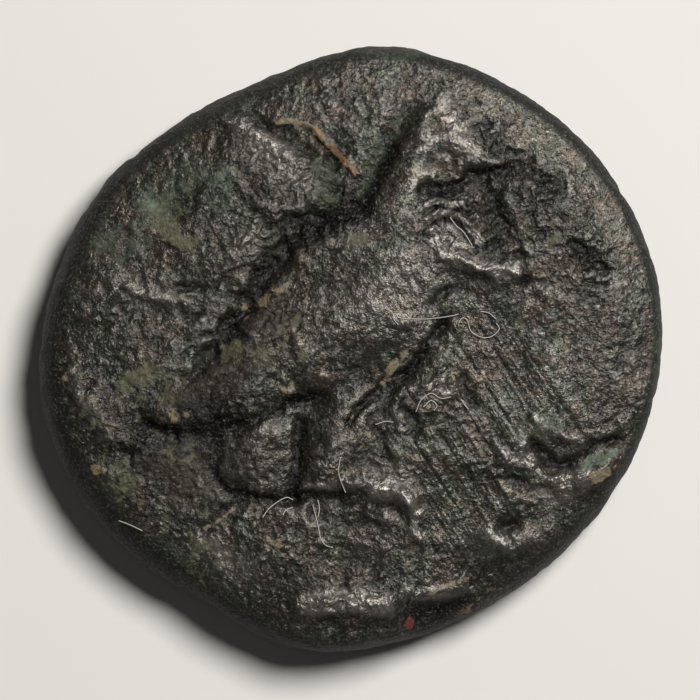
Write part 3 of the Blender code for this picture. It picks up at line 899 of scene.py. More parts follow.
    # Rubbed metal, and painted highlights: glints on the ridges and the neck's folds, and the lit
    # upper-right roll and breast.
    bare_and_highlight: tuple[Spot | Line, ...] = (
        Spot(0.3, (-4.3, 1.2), 0.9, 0.6, -20),
        Spot(0.6, (-0.3, -5.03), 0.8, 0.16),
        Spot(0.75, (-1.9, 4.05), 0.6, 0.25, -40),
        Spot(0.8, (-1.1, 3.4), 0.7, 0.4, -35),
        Spot(0.65, (-2.1, 2.1), 0.5, 0.3, 50),
        Spot(0.6, (0.9, -2.6), 0.6, 0.4, -25),
        Spot(0.55, (-2.6, -4.1), 0.9, 0.35, -30),
        Spot(0.35, (2.9, -3.9), 0.9, 0.4, 10),
        Spot(0.6, (4.2, -2.9), 0.6, 0.3, 30),
        Spot(0.35, (1.9, 4.0), 0.5, 0.4, -40),
        # Painted highlight over the breast and body, which face the lamp.
        Spot(0.24, (1.1, 1.5), 0.95, 0.75, 45),
        Spot(0.18, (0.2, 0.8), 1.1, 0.7, 35),
        Line(0.6, 0.18, ((1.86, 4.8), (2.15, 4.45), (2.45, 4.02))),
        Line(2.4, 0.12, ((-1.75, 4.18), (-1.5, 4.02), (-1.28, 3.88))),
        # Painted highlight along the upper-right roll, which faces the lamp.
        Line(0.15, 0.46, ((0.2, 5.75), (1.75, 5.45), (3.15, 4.75), (4.25, 3.9),
                          (5.0, 2.85), (5.45, 1.7))),
        Line(0.9, 0.12, ((1.9, 1.88), (2.42, 1.68), (2.88, 1.55), (3.28, 1.54))),
        Spot(0.5, (1.9, 2.15), 0.35, 0.3),
        # Painted glints along the folds in front of the neck.
        Line(2.0, 0.05, NECK_FOLDS[0]),
        Line(2.4, 0.05, NECK_FOLDS[1]),
        Line(2.2, 0.05, NECK_FOLDS[2]),
        Line(2.4, 0.06, NECK_FOLDS[3]),
        Line(0.9, 0.13, ((0.45, -2.88), (0.9, -2.85), (1.15, -3.05), (1.32, -3.28))),
        Spot(0.6, (-0.45, -2.72), 0.5, 0.1),
        Spot(0.2, (0.6, -4.0), 1.3, 0.5),
        Line(2.0, 0.18, ((-0.75, -5.1), (-0.4, -5.02), (0.2, -5.03), (0.6, -5.1))),
        Spot(0.6, (4.2, -2.6), 0.9, 0.16, 15),
        Spot(0.6, (3.3, -2.15), 0.4, 0.16, -20),
        Spot(0.6, (-5.25, -1.1), 0.18, 0.8, 30),
        Spot(0.35, (-3.6, 1.0), 0.7, 0.12, -15),
        Spot(0.8, (1.7, -0.8), 0.5, 0.25),
    )

    def of(self, stain: Stain) -> tuple[Spot | Line, ...]:
        """The places of one kind of stain."""
        return getattr(self, stain.name.lower())


@dataclass(frozen=True)
class Flan:
    """The struck piece of metal: its outline, its section and its fine mesh."""

    figures: Figures = Figures()
    wear: Wear = Wear()
    stains: Stains = Stains()
    grain: Grain = Grain(seed=23)

    girth_height: float = 0.8
    field_above_girth: float = 1.16
    face_dome: float = 0.12
    thick_side_roll: float = 0.26
    thin_side_roll: float = 0.1
    roll_towards: float = 35
    under_bevel: float = 0.42
    roll_sharpness: float = 7
    strike_warp: float = 0.06
    strike_warp_length: float = 0.9
    chip_depth: float = 0.4
    chip_middle: Point = (1.75, -5.4)
    chip_reach: Point = (0.75, 0.42)
    reverse_ring_width: float = 1.25
    reverse_dish: float = 0.22
    dish_sharpness: float = 4

    # The hidden side's wear: the heights and lengths of its waves, its sand and its pits. The wear comes
    # in over the dish's outer part, and pits stay off the outermost ring.
    reverse_wear: Point = (0.03, 0.7)
    reverse_sand: Point = (0.02, 0.25)
    reverse_pits: Point = (0.06, 0.5)
    reverse_pit_between: Point = (0.35, 0.9)
    reverse_wear_rise: float = 6
    reverse_pit_reach: float = 0.93

    # The wall's wear, the same way. It fades below the given height, so that the coin lies flat.
    wall_dents: Point = (0.035, 0.9)
    wall_sand: Point = (0.004, 0.16)
    wall_pits: Point = (0.05, 0.45)
    wall_pit_between: Point = (0.4, 0.9)
    wall_slant: Point = (0.7, -0.6)
    wall_wear_height: float = 0.3
    wall_roughness: float = 1.5

    outline: Around = Around((
        (5, 6.28), (29, 6.29), (50, 6.21), (71, 6.13), (84, 6.12), (105, 5.71), (124, 5.68), (144, 5.93),
        (165, 6.08), (189, 6.28), (208, 6.18), (224, 6.02), (241, 5.87), (260, 6.12), (277, 5.97),
        (292, 5.86), (313, 5.88), (336, 6.04),
    ))
    bevel: Around = Around((
        (0, 0.24), (40, 0.27), (80, 0.32), (108, 0.36), (135, 0.44), (158, 0.5), (185, 0.5), (205, 0.62),
        (228, 0.72), (250, 0.48), (272, 0.3), (300, 0.48), (318, 0.46), (335, 0.26),
    ))

    # How finely the mesh is cut: cells along each disc's side, and rings of the wall. Each ring below the
    # girth has its share of the way under, and takes every point (1) or every second one (2) from above.
    face_cells: int = 280
    reverse_cells: int = 70
    wall_rings: int = 6
    under_levels: tuple[tuple[float, int], ...] = ((0.45, 1), (0.75, 2))

    # Where the side's dark crust and painted shade begin and where they are full, as shares of the bevel's
    # width.
    rim_between: Point = (-0.15, 0.5)

    # How the patina tells hollows, which it darkens for earth and as painted shade, and worn places: height
    # against the mean over so many cells.
    fine_blur: float = 2.5
    fine_relief: float = 0.036
    broad_blur: float = 9
    broad_relief: float = 0.15

    def scale_and_centre(self) -> tuple[float, Point]:
        """How the drawing fits the CAD solid.

        Returns:
            Metres per drawn millimetre, and the middle of the drawn silhouette.
        """
        angle = np.linspace(0, 2 * math.pi, 721)
        radius = self.outline.at(angle)
        x, y = radius * np.cos(angle), radius * np.sin(angle)
        low, high = cad_box
        return (high[0] - low[0]) / np.ptp(x), ((x.max() + x.min()) / 2, (y.max() + y.min()) / 2)

    def face_share(self, x: Array, y: Array) -> Array:
        """How far out on the eagle side a place is, from 0 in the middle to 1 at the face's edge."""
        angle = np.arctan2(y, x)
        return np.hypot(x, y) / (self.outline.at(angle) - self.bevel.at(angle))

    def rim_crust_and_shade(self, x: Array, y: Array, z: Array) -> Array:
        """How fully the side's dark crust and painted shade cover a place: more outward, and all below the
        girth.

        Args:
            x: places to the right, in millimetres.
            y: places up, in millimetres.
            z: heights, in millimetres.

        Returns:
            The cover at each place, from 0 to 1.
        """
        angle = np.arctan2(y, x)
        outward = (np.hypot(x, y) - self.outline.at(angle)) / self.bevel.at(angle) + 1
        return np.where(z < self.girth_height, 1, step_between(outward, *self.rim_between))

    def obverse_height(self, x: Array, y: Array) -> Array:
        """The height of the eagle side, in millimetres, at places in the drawing.

        Args:
            x: places to the right, in millimetres.
            y: places up, in millimetres.

        Returns:
            The height at each place.
        """
        share = self.face_share(x, y)
        rolled = 0.5 + 0.5 * np.cos(np.arctan2(y, x) - math.radians(self.roll_towards))
        roll = self.thin_side_roll + (self.thick_side_roll - self.thin_side_roll) * rolled
        field = self.girth_height + self.field_above_girth
        plain = field + self.face_dome * (1 - share ** 2) - roll * share ** self.roll_sharpness
        struck = self.figures.obverse(*(
            place + self.strike_warp * self.grain.rough(x, y, self.strike_warp_length, layer, octaves=2)
            for place, layer in ((x, Layer.STRIKE_RIGHT), (y, Layer.STRIKE_UP))))
        right = (x - self.chip_middle[0]) / self.chip_reach[0]
        up = (y - self.chip_middle[1]) / self.chip_reach[1]
        chip = np.exp(-(right ** 4 + up ** 4))
        return plain + struck + self.wear.shape(x, y) - self.chip_depth * chip

    def reverse_height(self, x: Array, y: Array, share: Array) -> Array:
        """The height of the hidden side: a flat worn ring, and a dished field with the cup inside it.

        Args:
            x: places to the right, in millimetres.
            y: places up, in millimetres.
            share: how far out each place is, from 0 in the middle to 1 at the hidden side's edge.

        Returns:
            The height of the surface above the floor at each place.
        """
        ring_share = 1 - self.reverse_ring_width / (cad_box[1][0] / MM - self.under_bevel)
        inward = np.clip(1 - share / ring_share, 0, 1)
        dish = self.reverse_dish * (1 - (1 - inward) ** self.dish_sharpness)
        cup = self.figures.reverse(x, y) * (inward > 0)
        height, length = self.reverse_wear
        wear = height * self.grain.rough(x, y, length, Layer.REVERSE_WEAR)
        height, length = self.reverse_sand
        wear += height * self.grain.waves(x, y, length, Layer.REVERSE_SAND)
        wear *= np.minimum(1, self.reverse_wear_rise * inward)
        depth, length = self.reverse_pits
        pits = self.grain.waves(x, y, length, Layer.REVERSE_PITS)
        pits = depth * step_between(pits, *self.reverse_pit_between) * (share < self.reverse_pit_reach)
        return np.maximum(dish - cup + wear, 0) + pits

    def placed(self, x: Array, y: Array, z: Array) -> Array:
        """Places in the drawing, in millimetres, as points in metres in the shared frame."""
        scale, (middle_x, middle_y) = self.scale_and_centre()
        return np.column_stack([scale * (x - middle_x), scale * (y - middle_y), MM * z])

    def disc(self, cells: int) -> tuple[Array, Array]:
        """A square grid of points bent into a disc.

        Args:
            cells: how many cells the grid has along a side.

        Returns:
            Each point's share of the radius, and its angle.
        """
        line = np.linspace(-1, 1, cells + 1)
        u, v = (part.ravel() for part in np.meshgrid(line, line, indexing="ij"))
        x, y = u * np.sqrt(1 - v ** 2 / 2), v * np.sqrt(1 - u ** 2 / 2)
        return np.hypot(x, y), np.arctan2(y, x)

    def rim(self, cells: int) -> Array:
        """The numbers of a grid's outermost points, in order round the coin."""
        grid = np.arange((cells + 1) ** 2).reshape(cells + 1, cells + 1)
        return np.concatenate([grid[:-1, 0], grid[-1, :-1], grid[:0:-1, -1], grid[0, :0:-1]])

    def grid_faces(self, cells: int) -> Array:
        """The faces of a grid that faces up.

        Args:
            cells: how many cells the grid has along a side.

        Returns:
            Each face's four point numbers.
        """
        grid = np.arange((cells + 1) ** 2).reshape(cells + 1, cells + 1)
        corners = (grid[:-1, :-1], grid[1:, :-1], grid[1:, 1:], grid[:-1, 1:])
        return np.column_stack([corner.ravel() for corner in corners])

    def worn_wall(self, x: Array, y: Array, z: Array) -> Array:
        """How far wear pushes the side out or in, in millimetres.

        Args:
            x: places to the right, in millimetres.
            y: places up, in millimetres.
            z: heights, in millimetres.

        Returns:
            How far out wear moves each place.
        """
        across, up = x + self.wall_slant[0] * z, y + self.wall_slant[1] * z
        height, length = self.wall_dents
        dents = height * self.grain.rough(across, up, length, Layer.WALL_DENTS)
        height, length = self.wall_sand
        sand = height * self.grain.waves(across, up, length, Layer.WALL_SAND)
        depth, length = self.wall_pits
        pits = self.grain.waves(across, up, length, Layer.WALL_PITS)
        return dents + sand - depth * step_between(pits, *self.wall_pit_between)

    def wall_ring(self, angle: Array, inset: Array, z: Array) -> Array:
        """One ring of the side.

        Args:
            angle: the ring's angles, in radians.
            inset: how far inside the silhouette it lies, in millimetres.
            z: its heights, in millimetres.

        Returns:
            The ring's places in the drawing, with their heights.
        """
        radius = self.outline.at(angle) - inset
        wear = self.worn_wall(radius * np.cos(angle), radius * np.sin(angle), z)
        radius = radius + wear * np.minimum(1, z / self.wall_wear_height)
        return np.column_stack([radius * np.cos(angle), radius * np.sin(angle), z])

    def mesh(self) -> tuple[Array, list, Array]:
        """The whole coin.

        Returns:
            The points in the drawing with their heights, the faces, and each point's side: 1 on the
            eagle side, 0 on the wall and -1 on the hidden side.
        """
        share, angle = self.disc(self.face_cells)
        radius = share * (self.outline.at(angle) - self.bevel.at(angle))
        x, y = radius * np.cos(angle), radius * np.sin(angle)
        points = [np.column_stack([x, y, self.obverse_height(x, y)])]
        side = [np.ones(len(x))]
        faces = self.grid_faces(self.face_cells).tolist()
        ring = self.rim(self.face_cells)
        edge = points[0][ring]
        around = np.arctan2(edge[:, 1], edge[:, 0])
        made = len(x)

        def add(places: Array, which: float) -> Array:
            """Adds points and returns their numbers.

            Args:
                places: the points.
                which: their side of the coin.

            Returns:
                Their numbers.
            """
            nonlocal made
            points.append(places)
            side.append(np.full(len(places), which))
            made += len(places)
            return np.arange(made - len(places), made)

        for step in range(1, self.wall_rings + 1):
            level = step / self.wall_rings * math.pi / 2
            inset = self.bevel.at(around) * (1 - math.sin(level))
            z = self.girth_height + (edge[:, 2] - self.girth_height) * math.cos(level)
            below = add(self.wall_ring(around, inset, z), 0)
            faces += self.ring_faces(ring, below)
            ring = below
        for level, thin in self.under_levels:
            around = around[::thin]
            inset = np.full(len(around), self.under_bevel * (1 - math.cos(level * math.pi / 2)))
            z = np.full(len(around), self.girth_height * (1 - math.sin(level * math.pi / 2)))
            below = add(self.wall_ring(around, inset, z), 0)
            faces += self.ring_faces(ring, below)
            ring = below
        share, angle = self.disc(self.reverse_cells)
        radius = share * (self.outline.at(angle) - self.under_bevel)
        x, y = radius * np.cos(angle), radius * np.sin(angle)
        first = made
        add(np.column_stack([x, y, self.reverse_height(x, y, share)]), -1)
        faces += (first + self.grid_faces(self.reverse_cells)[:, ::-1]).tolist()
        faces += self.ring_faces(ring, first + self.rim(self.reverse_cells))
        return np.vstack(points), faces, np.concatenate(side)

    def ring_faces(self, upper: Array, lower: Array) -> list:
        """The faces between a ring and the next one down, which has as many points or half as many.

        Args:
            upper: the upper ring's point numbers.
            lower: the lower ring's.

        Returns:
            Each face's point numbers.
        """
        after = np.roll(lower, -1)
        if len(upper) == len(lower):
            return np.column_stack([upper, lower, after, np.roll(upper, -1)]).tolist()
        here, middle, there = upper[::2], upper[1::2], np.roll(upper, -2)[::2]
        rows = ((here, lower, middle), (middle, lower, after), (middle, after, there))
        return np.vstack([np.column_stack(row) for row in rows]).tolist()

    def blurred(self, heights: Array, cells: float) -> Array:
        """A square grid of heights, softened over about that many cells.

        Args:
            heights: the grid.
            cells: how far the softening reaches, in cells.

        Returns:
            The softened grid.
        """
        reach = int(3 * cells) + 1
        weights = np.exp(-0.5 * (np.arange(-reach, reach + 1) / cells) ** 2)
        weights /= weights.sum()
        for _ in range(2):
            padded = np.pad(heights, ((reach, reach), (0, 0)), mode="reflect", reflect_type="odd")
            heights = sum(w * padded[k:k + heights.shape[0]] for k, w in enumerate(weights)).T
        return heights

    def build(self) -> bpy.types.Object:
        """Makes the coin's fine mesh, with what the patina reads from it.

        Returns:
            The coin, without its finish.
        """
        drawn, faces, side = self.mesh()
        x, y, z = drawn.T
        mesh = bpy.data.meshes.new("struck_flan")
        mesh.from_pydata(self.placed(x, y, z), [], faces)
        mesh.shade_smooth()
        size = self.face_cells + 1
        heights = z[:size * size].reshape(size, size)
        fine = (heights - self.blurred(heights, self.fine_blur)) / self.fine_relief
        broad = (heights - self.blurred(heights, self.broad_blur)) / self.broad_relief
        lift = np.zeros(len(z))
        lift[:size * size] = (fine + broad).ravel()
        values = {
            # Low places, darkened for earth and as painted shade.
            "hollow": np.clip(-lift, 0, 1),
            "worn": np.clip(lift, 0, 1),
            # The side's dark crust and painted shade.
            "rim": self.rim_crust_and_shade(x, y, z) * (side >= 0),
            "rough": np.where(side > 0, self.wear.rough(x, y), self.wall_roughness),
            "brushed": np.where(side > 0, total(self.wear.brushed, x, y), 0),
            "crumpled": np.where(side > 0, total(self.wear.crumpled, x, y), 0),
            **{stain.value: total(self.stains.of(stain), x, y) * (side >= 0) for stain in Stain},
        }
        for name, value in values.items():
            mesh.attributes.new(name, "FLOAT", "POINT").data.foreach_set("value", value.astype(np.float32))
        return add_object("struck_coin", mesh)


@dataclass(frozen=True)
class Speckle:
    """Grains of one tint, strewn where their own noise is high."""

    tint: str
    size_mm: float
    low: float
    high: float
    strength: float
    shift_mm: float


@dataclass(frozen=True)
class Tint:
    """The colour of one kind of stain, how much it hides, and how ragged its flakes make its edge."""

    stain: Stain
    colour: str
    cover: float
    ragged: float


@dataclass(frozen=True)
class DarkPatina:
    """Burial patina on struck bronze: a hard dark mineral skin over the metal, grainy and dull.

    The skin is thin and partly metallic, so it is very dark where it faces away from the light and
    gives small grey glints on every grain that faces it. Hollows and stains hold earth and stay matt.
    Hollows and the side are also painted darker as painted shade, and painted shade and painted
    highlights lie on some places without dulling the metal.
    """

    skin: str = "#2f2d29"
    skin_specks: tuple[Speckle, ...] = (
        Speckle("#292e27", 0.9, 0.42, 0.6, 0.9, 0.0),
        Speckle("#41362e", 0.5, 0.48, 0.66, 0.8, 1.3),
        Speckle("#463b34", 0.14, 0.5, 0.66, 0.28, 3.1),
        Speckle("#3f3d2f", 0.14, 0.5, 0.66, 0.4, 7.7),
        Speckle("#31382f", 0.14, 0.51, 0.67, 0.26, 2.2),
    )
    grain_specks: tuple[Speckle, ...] = (
        Speckle("#77726a", 0.06, 0.54, 0.7, 0.42, 5.3),
        Speckle("#0f0e0c", 0.065, 0.5, 0.7, 0.42, 9.1),
    )
    coats: tuple[tuple[str, str, float], ...] = (
        ("worn", "#848079", 0.32),
        # Earth in the hollows, and painted shade that stands in for the shade of deeper hollows.
        ("hollow", "#0d0c0a", 0.8),
        # The side's dark crust, painted darker still as painted shade, so that it stays very dark over the
        # pale floor.
        ("rim", "#0b0d09", 0.96),
    )
    tints: tuple[Tint, ...] = (
        Tint(Stain.DIRT, "#281f14", 0.8, 3.0),
        # Painted shade: a very dark colour that leaves the metal's shine.
        Tint(Stain.BLACK, "#090807", 0.85, 1.5),
        # Pale rubbed metal, and painted highlights.
        Tint(Stain.BARE_AND_HIGHLIGHT, "#837e76", 0.8, 1.5),
        Tint(Stain.GREEN, "#363f2d", 0.75, 4.0),
        Tint(Stain.OLIVE, "#4f4e38", 0.75, 5.0),
        Tint(Stain.OCHRE, "#776b52", 0.8, 6.0),
        Tint(Stain.RUST, "#7a5f42", 0.8, 7.0),
        Tint(Stain.CUPRITE, "#58231b", 0.9, 6.0),
        Tint(Stain.VERDIGRIS, "#5d6b5a", 0.8, 4.0),
    )
    stain_least: float = 0.1
    stain_full: float = 1.0

    # How far hollows count as covered, and the shine of bare and of covered places.
    hollow_covered: float = 0.5
    metallic: float = 0.7
    roughness: float = 0.36
    covered_roughness: float = 0.65
    specular_level: float = 0.24

    # The sizes are the real ones, but the grit and its facets are drawn about 0.05 mm wide, the finest that
    # the photograph tells apart.
    grit_mm: float = 0.05
    grit_depth_mm: float = 0.013
    facet_mm: float = 0.055
    facet_tilt: float = 0.21
    crust_mm: float = 0.12
    crust_depth_mm: float = 0.034
    wrinkle_mm: float = 0.3
    wrinkle_depth_mm: float = 0.05
    scratch_mm: tuple[float, float] = (0.125, 5.0)
    scratch_depth_mm: float = 0.045
    flake_mm: float = 0.22

    def material(self) -> bpy.types.Material:
        """Builds the patina's nodes.

        Returns:
            The material.
        """
        made, shader = new_material("dark_bronze_patina")
        tree = made.node_tree
        place = add_node(tree, "TexCoord", output="Object")
        place = add_node(tree, "VectorMath", {0: place, "Scale": 1 / MM}, operation="SCALE")
        held = {name: add_node(tree, "Attribute", output="Fac", attribute_name=name)
                for name in ("hollow", "worn", "rim", "rough", "brushed", "crumpled")}
        colour = add_node(tree, "RGB")
        colour.default_value = linear(self.skin)
        colour = self.strewn(tree, place, colour, self.skin_specks)

        # What stands high is rubbed lighter. What lies low is darkened for earth and as painted shade, and
        # the side is darkened for its crust and as painted shade.
        for name, tint, cover in self.coats:
            amount = add_node(tree, "Math", {0: held[name], 1: cover}, operation="MULTIPLY")
            colour = add_node(tree, "Mix", {
                MIX_FACTOR: amount, MIX_A: colour, MIX_B: linear(tint),
            }, output=MIX_RESULT, data_type="RGBA")
        colour, covered = self.stained(tree, place, colour, held)
        colour = self.strewn(tree, place, colour, self.grain_specks)
        rough = add_node(tree, "MapRange", {
            "Value": covered, "To Min": self.roughness, "To Max": self.covered_roughness})
        metal = add_node(tree, "MapRange", {"Value": covered, "To Min": self.metallic, "To Max": 0.0})
        shader.inputs["Specular IOR Level"].default_value = self.specular_level
        for socket, value in (("Base Color", colour), ("Roughness", rough), ("Metallic", metal),
                              ("Normal", self.relief(tree, place, held))):
            tree.links.new(value, shader.inputs[socket])
        return made

    def stained(self, tree: Tree, place: Socket, colour: Socket,
                held: dict[str, Socket]) -> tuple[Socket, Socket]:
        """Lays the stains over the skin, each with an edge that its flakes make ragged.

        Args:
            tree: the material's node tree.
            place: the point's place in millimetres.
            colour: the colour below.
            held: what the mesh holds for each point, by name.

        Returns:
            The stained colour, and how fully earth or a stain covers the metal.
        """
        flake = add_node(tree, "TexNoise", {
            "Vector": place, "Scale": 1 / self.flake_mm, "Detail": 6, "Roughness": 0.6})
        covered = add_node(tree, "Math", {
            0: held["hollow"], 1: self.hollow_covered}, operation="MULTIPLY")
        covered = add_node(tree, "Math", {0: covered, 1: held["rim"]}, operation="MAXIMUM")
        for tint in self.tints:
            where = add_node(tree, "Attribute", output="Fac", attribute_name=tint.stain.value)
            edge = add_node(tree, "Math", {
                0: flake, 1: tint.ragged, 2: 1 - tint.ragged / 2}, operation="MULTIPLY_ADD")
            where = add_node(tree, "Math", {0: where, 1: edge}, operation="MULTIPLY")
            amount = add_node(tree, "MapRange", {
                "Value": where, "From Min": self.stain_least * tint.ragged, "From Max": self.stain_full,
                "To Max": tint.cover})
            colour = add_node(tree, "Mix", {
                MIX_FACTOR: amount, MIX_A: colour, MIX_B: linear(tint.colour),
            }, output=MIX_RESULT, data_type="RGBA")
            # Painted shade and painted highlights keep the metal's shine; earth and stains dull it.
            if tint.stain not in (Stain.BARE_AND_HIGHLIGHT, Stain.BLACK):
                covered = add_node(tree, "Math", {0: covered, 1: amount}, operation="MAXIMUM")
        return colour, covered

    def relief(self, tree: Tree, place: Socket, held: dict[str, Socket]) -> Socket:
        """Bends the surface by its facets, grit, crust, scratches and wrinkles.

        Args:
            tree: the material's node tree.
            place: the point's place in millimetres.
            held: what the mesh holds for each point, by name.

        Returns:
            The bent normal.
        """
        # Every grain is a small facet with a lean of its own.
        facets = add_node(tree, "TexVoronoi", {"Vector": place, "Scale": 1 / self.facet_mm}, output="Color")
        lean = add_node(tree, "VectorMath", {0: facets, 1: (0.5, 0.5, 0.5)}, operation="SUBTRACT")
        normal = add_node(tree, "NewGeometry", output="Normal")
        normal = add_node(tree, "VectorMath", {
            0: lean, 1: (self.facet_tilt,) * 3, 2: normal}, operation="MULTIPLY_ADD")
        normal = add_node(tree, "VectorMath", {0: normal}, operation="NORMALIZE")
        grit = add_node(tree, "TexNoise", {
            "Vector": place, "Scale": 1 / self.grit_mm, "Detail": 2, "Roughness": 0.6})
        crust = add_node(tree, "TexNoise", {
            "Vector": place, "Scale": 1 / self.crust_mm, "Detail": 4, "Roughness": 0.6,
            "Distortion": 0.3})
        width, length = self.scratch_mm
        scratch = add_node(tree, "Mapping", {
            "Vector": place, "Rotation": (0, 0, math.radians(SCRATCH_DEGREES)),
            "Scale": (length, width, length)}, vector_type="TEXTURE")
        scratch = add_node(tree, "TexNoise", {"Vector": scratch, "Scale": 1.0, "Detail": 1})
        wrinkle = add_node(tree, "TexNoise", {
            "Vector": place, "Scale": 1 / self.wrinkle_mm, "Detail": 2, "Roughness": 0.5, "Distortion": 0.8,
            "Gain": 2.0, "Offset": 0.9}, noise_type="RIDGED_MULTIFRACTAL")
        for height, mask, depth in ((grit, None, self.grit_depth_mm), (crust, "rough", self.crust_depth_mm),
                                    (scratch, "brushed", self.scratch_depth_mm),
                                    (wrinkle, "crumpled", self.wrinkle_depth_mm)):
            if mask:
                height = add_node(tree, "Math", {0: height, 1: held[mask]}, operation="MULTIPLY")
            normal = add_node(tree, "Bump", {
                "Height": height, "Normal": normal, "Strength": 1.0, "Distance": depth * MM})
        return normal

    def strewn(self, tree: Tree, place: Socket, colour: Socket, specks: tuple[Speckle, ...]) -> Socket:
        """Strews grains of other tints over a colour.

        Args:
            tree: the material's node tree.
            place: the point's place in millimetres.
            colour: the colour below.
            specks: the grains, the lowest first.

        Returns:
            The speckled colour.
        """
        for speck in specks:
            moved = add_node(tree, "VectorMath", {0: place, 1: (speck.shift_mm,) * 3})
            noise = add_node(tree, "TexNoise", {
                "Vector": moved, "Scale": 1 / speck.size_mm, "Detail": 3, "Roughness": 0.6})
            amount = add_node(tree, "MapRange", {
                "Value": noise, "From Min": speck.low, "From Max": speck.high,
                "To Max": speck.strength})
            colour = add_node(tree, "Mix", {
                MIX_FACTOR: amount, MIX_A: colour, MIX_B: linear(speck.tint),
            }, output=MIX_RESULT, data_type="RGBA")
        return colour


@dataclass(frozen=True)
class MattFinish:
    """A dull finish of one colour."""

    name: str
    tint: str
    roughness: float

    def material(self) -> bpy.types.Material:
        """Builds the finish's material.

        Returns:
            The material.
        """
        made, shader = new_material(self.name)
        shader.inputs["Base Color"].default_value = linear(self.tint)
        shader.inputs["Roughness"].default_value = self.roughness
        return made


# Cotton fibre is white and soft-edged, so it shows as a pale thread on the metal. Studio paper is pressed
# and uncoated, so it is an even pale ground without a shine.
COTTON_LINT = MattFinish("cotton_lint", "#a8a49a", 0.8)
STUDIO_PAPER = MattFinish("matt_pale_paper", "#cdcac4", 0.9)


@dataclass(frozen=True)
class Lint:
    """The lint fibres that the rough metal has caught."""

    flan: Flan

    # A fibre's radius, and how far its ends stand off the metal.
    radius: float = 0.0095
    lift: float = 0.05
    routes: tuple[tuple[Point, ...], ...] = (
        ((0.95, 0.48), (0.86, 0.6), (0.86, 0.7), (0.92, 0.68), (1.0, 0.62), (1.5, 0.6),
         (2.0, 0.66), (2.15, 0.7)),
        ((2.15, 0.52), (2.22, 0.62), (2.32, 0.58), (2.4, 0.36), (2.6, 0.24), (2.8, 0.25),
         (2.96, 0.4), (2.9, 0.52)),
        ((2.6, 0.75), (2.75, 0.72), (2.9, 0.6)),
        ((1.98, 2.62), (2.1, 2.46), (2.26, 2.32), (2.42, 2.06)),
        ((1.3, -1.25), (1.4, -1.02), (1.6, -0.88), (1.8, -0.98), (2.0, -0.95)),
        ((1.45, -1.15), (1.6, -1.02), (1.72, -1.12), (1.66, -1.22)),
        ((2.2, -1.0), (2.28, -1.12), (2.35, -1.2)),
        ((-1.75, -3.35), (-1.6, -3.15), (-1.3, -2.96), (-1.15, -3.0)),
        ((-1.35, -3.3), (-1.28, -3.2), (-1.15, -3.15)),
        ((-0.75, -3.1), (-0.65, -3.5), (-0.6, -3.75), (-0.5, -3.9), (-0.35, -3.95)),
        ((-0.65, -3.0), (-0.62, -3.18), (-0.65, -3.35)),
        ((-0.2, -2.15), (-0.24, -2.4), (-0.2, -2.6), (-0.1, -2.85)),
        ((0.5, -1.5), (0.68, -1.44), (0.85, -1.45)),
        ((-4.62, -3.42), (-4.4, -3.5), (-4.15, -3.62)),
    )

    def build(self) -> bpy.types.Object:
        """Makes all the fibres as one mesh of thin tubes.

        Returns:
            The lint, without its finish.
        """
        curve = bpy.data.curves.new("lint_paths", "CURVE")
        curve.dimensions = "3D"
        curve.bevel_depth = self.radius * MM
        curve.bevel_resolution = 1
        for route in self.routes:
            x, y = smooth_path(route).T
            surface = self.flan.obverse_height(x, y)
            bridge = np.interp(np.arange(len(x)), (0, len(x) - 1), surface[[0, -1]] + self.lift)
            places = self.flan.placed(x, y, np.maximum(bridge, surface + 2 * self.radius))
            spline = curve.splines.new("POLY")
            spline.points.add(len(places) - 1)
            spline.points.foreach_set("co", np.column_stack([places, np.ones(len(places))]).ravel())
        mesh = bpy.data.meshes.new_from_object(bpy.data.objects.new("lint_paths", curve))
        return add_object("lint_fibres", mesh)


@dataclass(frozen=True)
class Lamp:
    """One soft round lamp: the way it lies from the coin, its height as an angle, and its power in watts."""

    name: str
    degrees: float
    height_degrees: float
    distance_mm: float
    width_mm: float
    power: float

    def hang(self) -> None:
        """Hangs the lamp, pointing at the coin."""
        light = bpy.data.lights.new(self.name, "AREA")
        light.shape = "DISK"
        light.size = self.width_mm * MM
        light.energy = self.power
        around, height = math.radians(self.degrees), math.radians(self.height_degrees)
        flat = math.cos(height)
        way = Vector((flat * math.cos(around), flat * math.sin(around), math.sin(height)))
        lamp = add_object(self.name, light)
        lamp.location = way * self.distance_mm * MM
        lamp.rotation_euler = way.to_track_quat("Z", "Y").to_euler()


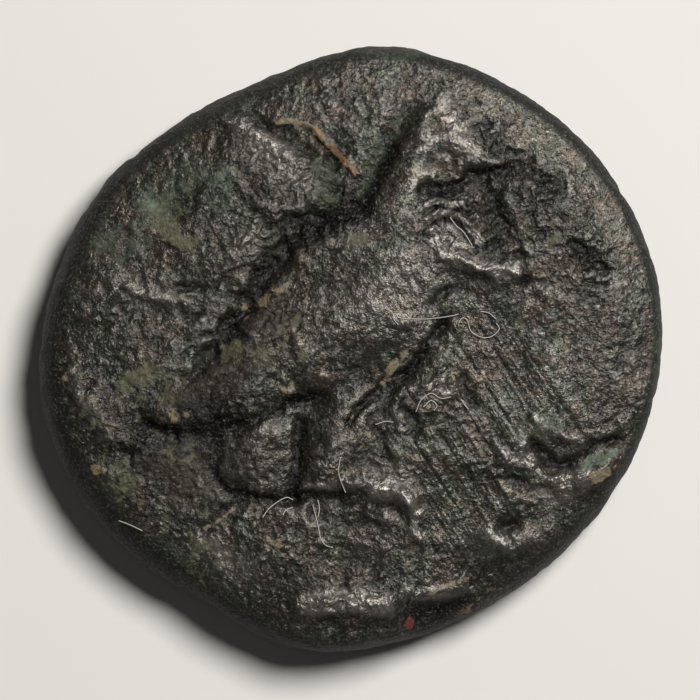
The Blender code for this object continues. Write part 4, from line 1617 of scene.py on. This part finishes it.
@dataclass(frozen=True)
class Studio:
    """A pale floor, soft lamps and the camera that looks straight down."""

    floor_width_mm: float = 600.0
    lamps: tuple[Lamp, ...] = (
        Lamp("window_from_upper_right", 45, 60, 150, 55, 0.33),
        Lamp("overhead_fill", 200, 70, 200, 160, 0.01),
    )
    sky: float = 0.03

    # The photograph's scale holds at this height, between the coin's broadest part and its face.
    scale_height_mm: float = 1.3
    lens_mm: float = 400.0
    clip_m: Point = (0.005, 5)

    def floor(self) -> bpy.types.Object:
        """Lays the floor just under the coin.

        Returns:
            The floor.
        """
        half = self.floor_width_mm / 2 * MM
        mesh = bpy.data.meshes.new("pale_floor")
        corners = [(-half, -half, 0), (half, -half, 0), (half, half, 0), (-half, half, 0)]
        mesh.from_pydata(corners, [], [(0, 1, 2, 3)])
        mesh.materials.append(STUDIO_PAPER.material())
        return add_object("pale_floor", mesh)

    def camera(self) -> None:
        """Sets the camera over the photograph's middle, as far up as the photograph's scale needs."""
        data = bpy.data.cameras.new("copy_stand_camera")
        data.lens = self.lens_mm
        data.clip_start, data.clip_end = self.clip_m
        width = PHOTO_WIDTH_PX / PHOTO_PX_PER_MM * MM
        middle = PHOTO_WIDTH_PX / 2
        right = (middle - PHOTO_MIDDLE_PX[0]) / PHOTO_PX_PER_MM * MM
        up = (PHOTO_MIDDLE_PX[1] - middle) / PHOTO_PX_PER_MM * MM
        height = self.scale_height_mm * MM + width * data.lens / data.sensor_width
        camera = add_object("copy_stand_camera", data)
        camera.location = (right, up, height)
        bpy.context.scene.camera = camera

    def build(self) -> None:
        """Sets up the whole studio."""
        self.camera()
        self.floor()
        for lamp in self.lamps:
            lamp.hang()
        world = bpy.data.worlds.new("studio")
        world.use_nodes = True
        world.node_tree.nodes["Background"].inputs["Color"].default_value = (self.sky, self.sky, self.sky, 1)
        bpy.context.scene.world = world
        bpy.context.scene.view_settings.view_transform = "Standard"


def main() -> None:
    """Builds the studio and the coin, piece by piece."""
    log = logging.getLogger("chalkous")
    Studio().build()
    log.info("studio ready")
    flan = Flan()
    coin = flan.build()
    coin.data.materials.append(DarkPatina().material())
    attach(coin, "root")
    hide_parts("bronze_coin")
    log.info("coin: %d faces", len(coin.data.polygons))
    lint = Lint(flan).build()
    lint.data.materials.append(COTTON_LINT.material())
    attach(lint, "root")
    log.info("lint: %d faces", len(lint.data.polygons))


if __name__ == "__main__":
    logging.basicConfig(level=logging.INFO, format="%(message)s")
    main()
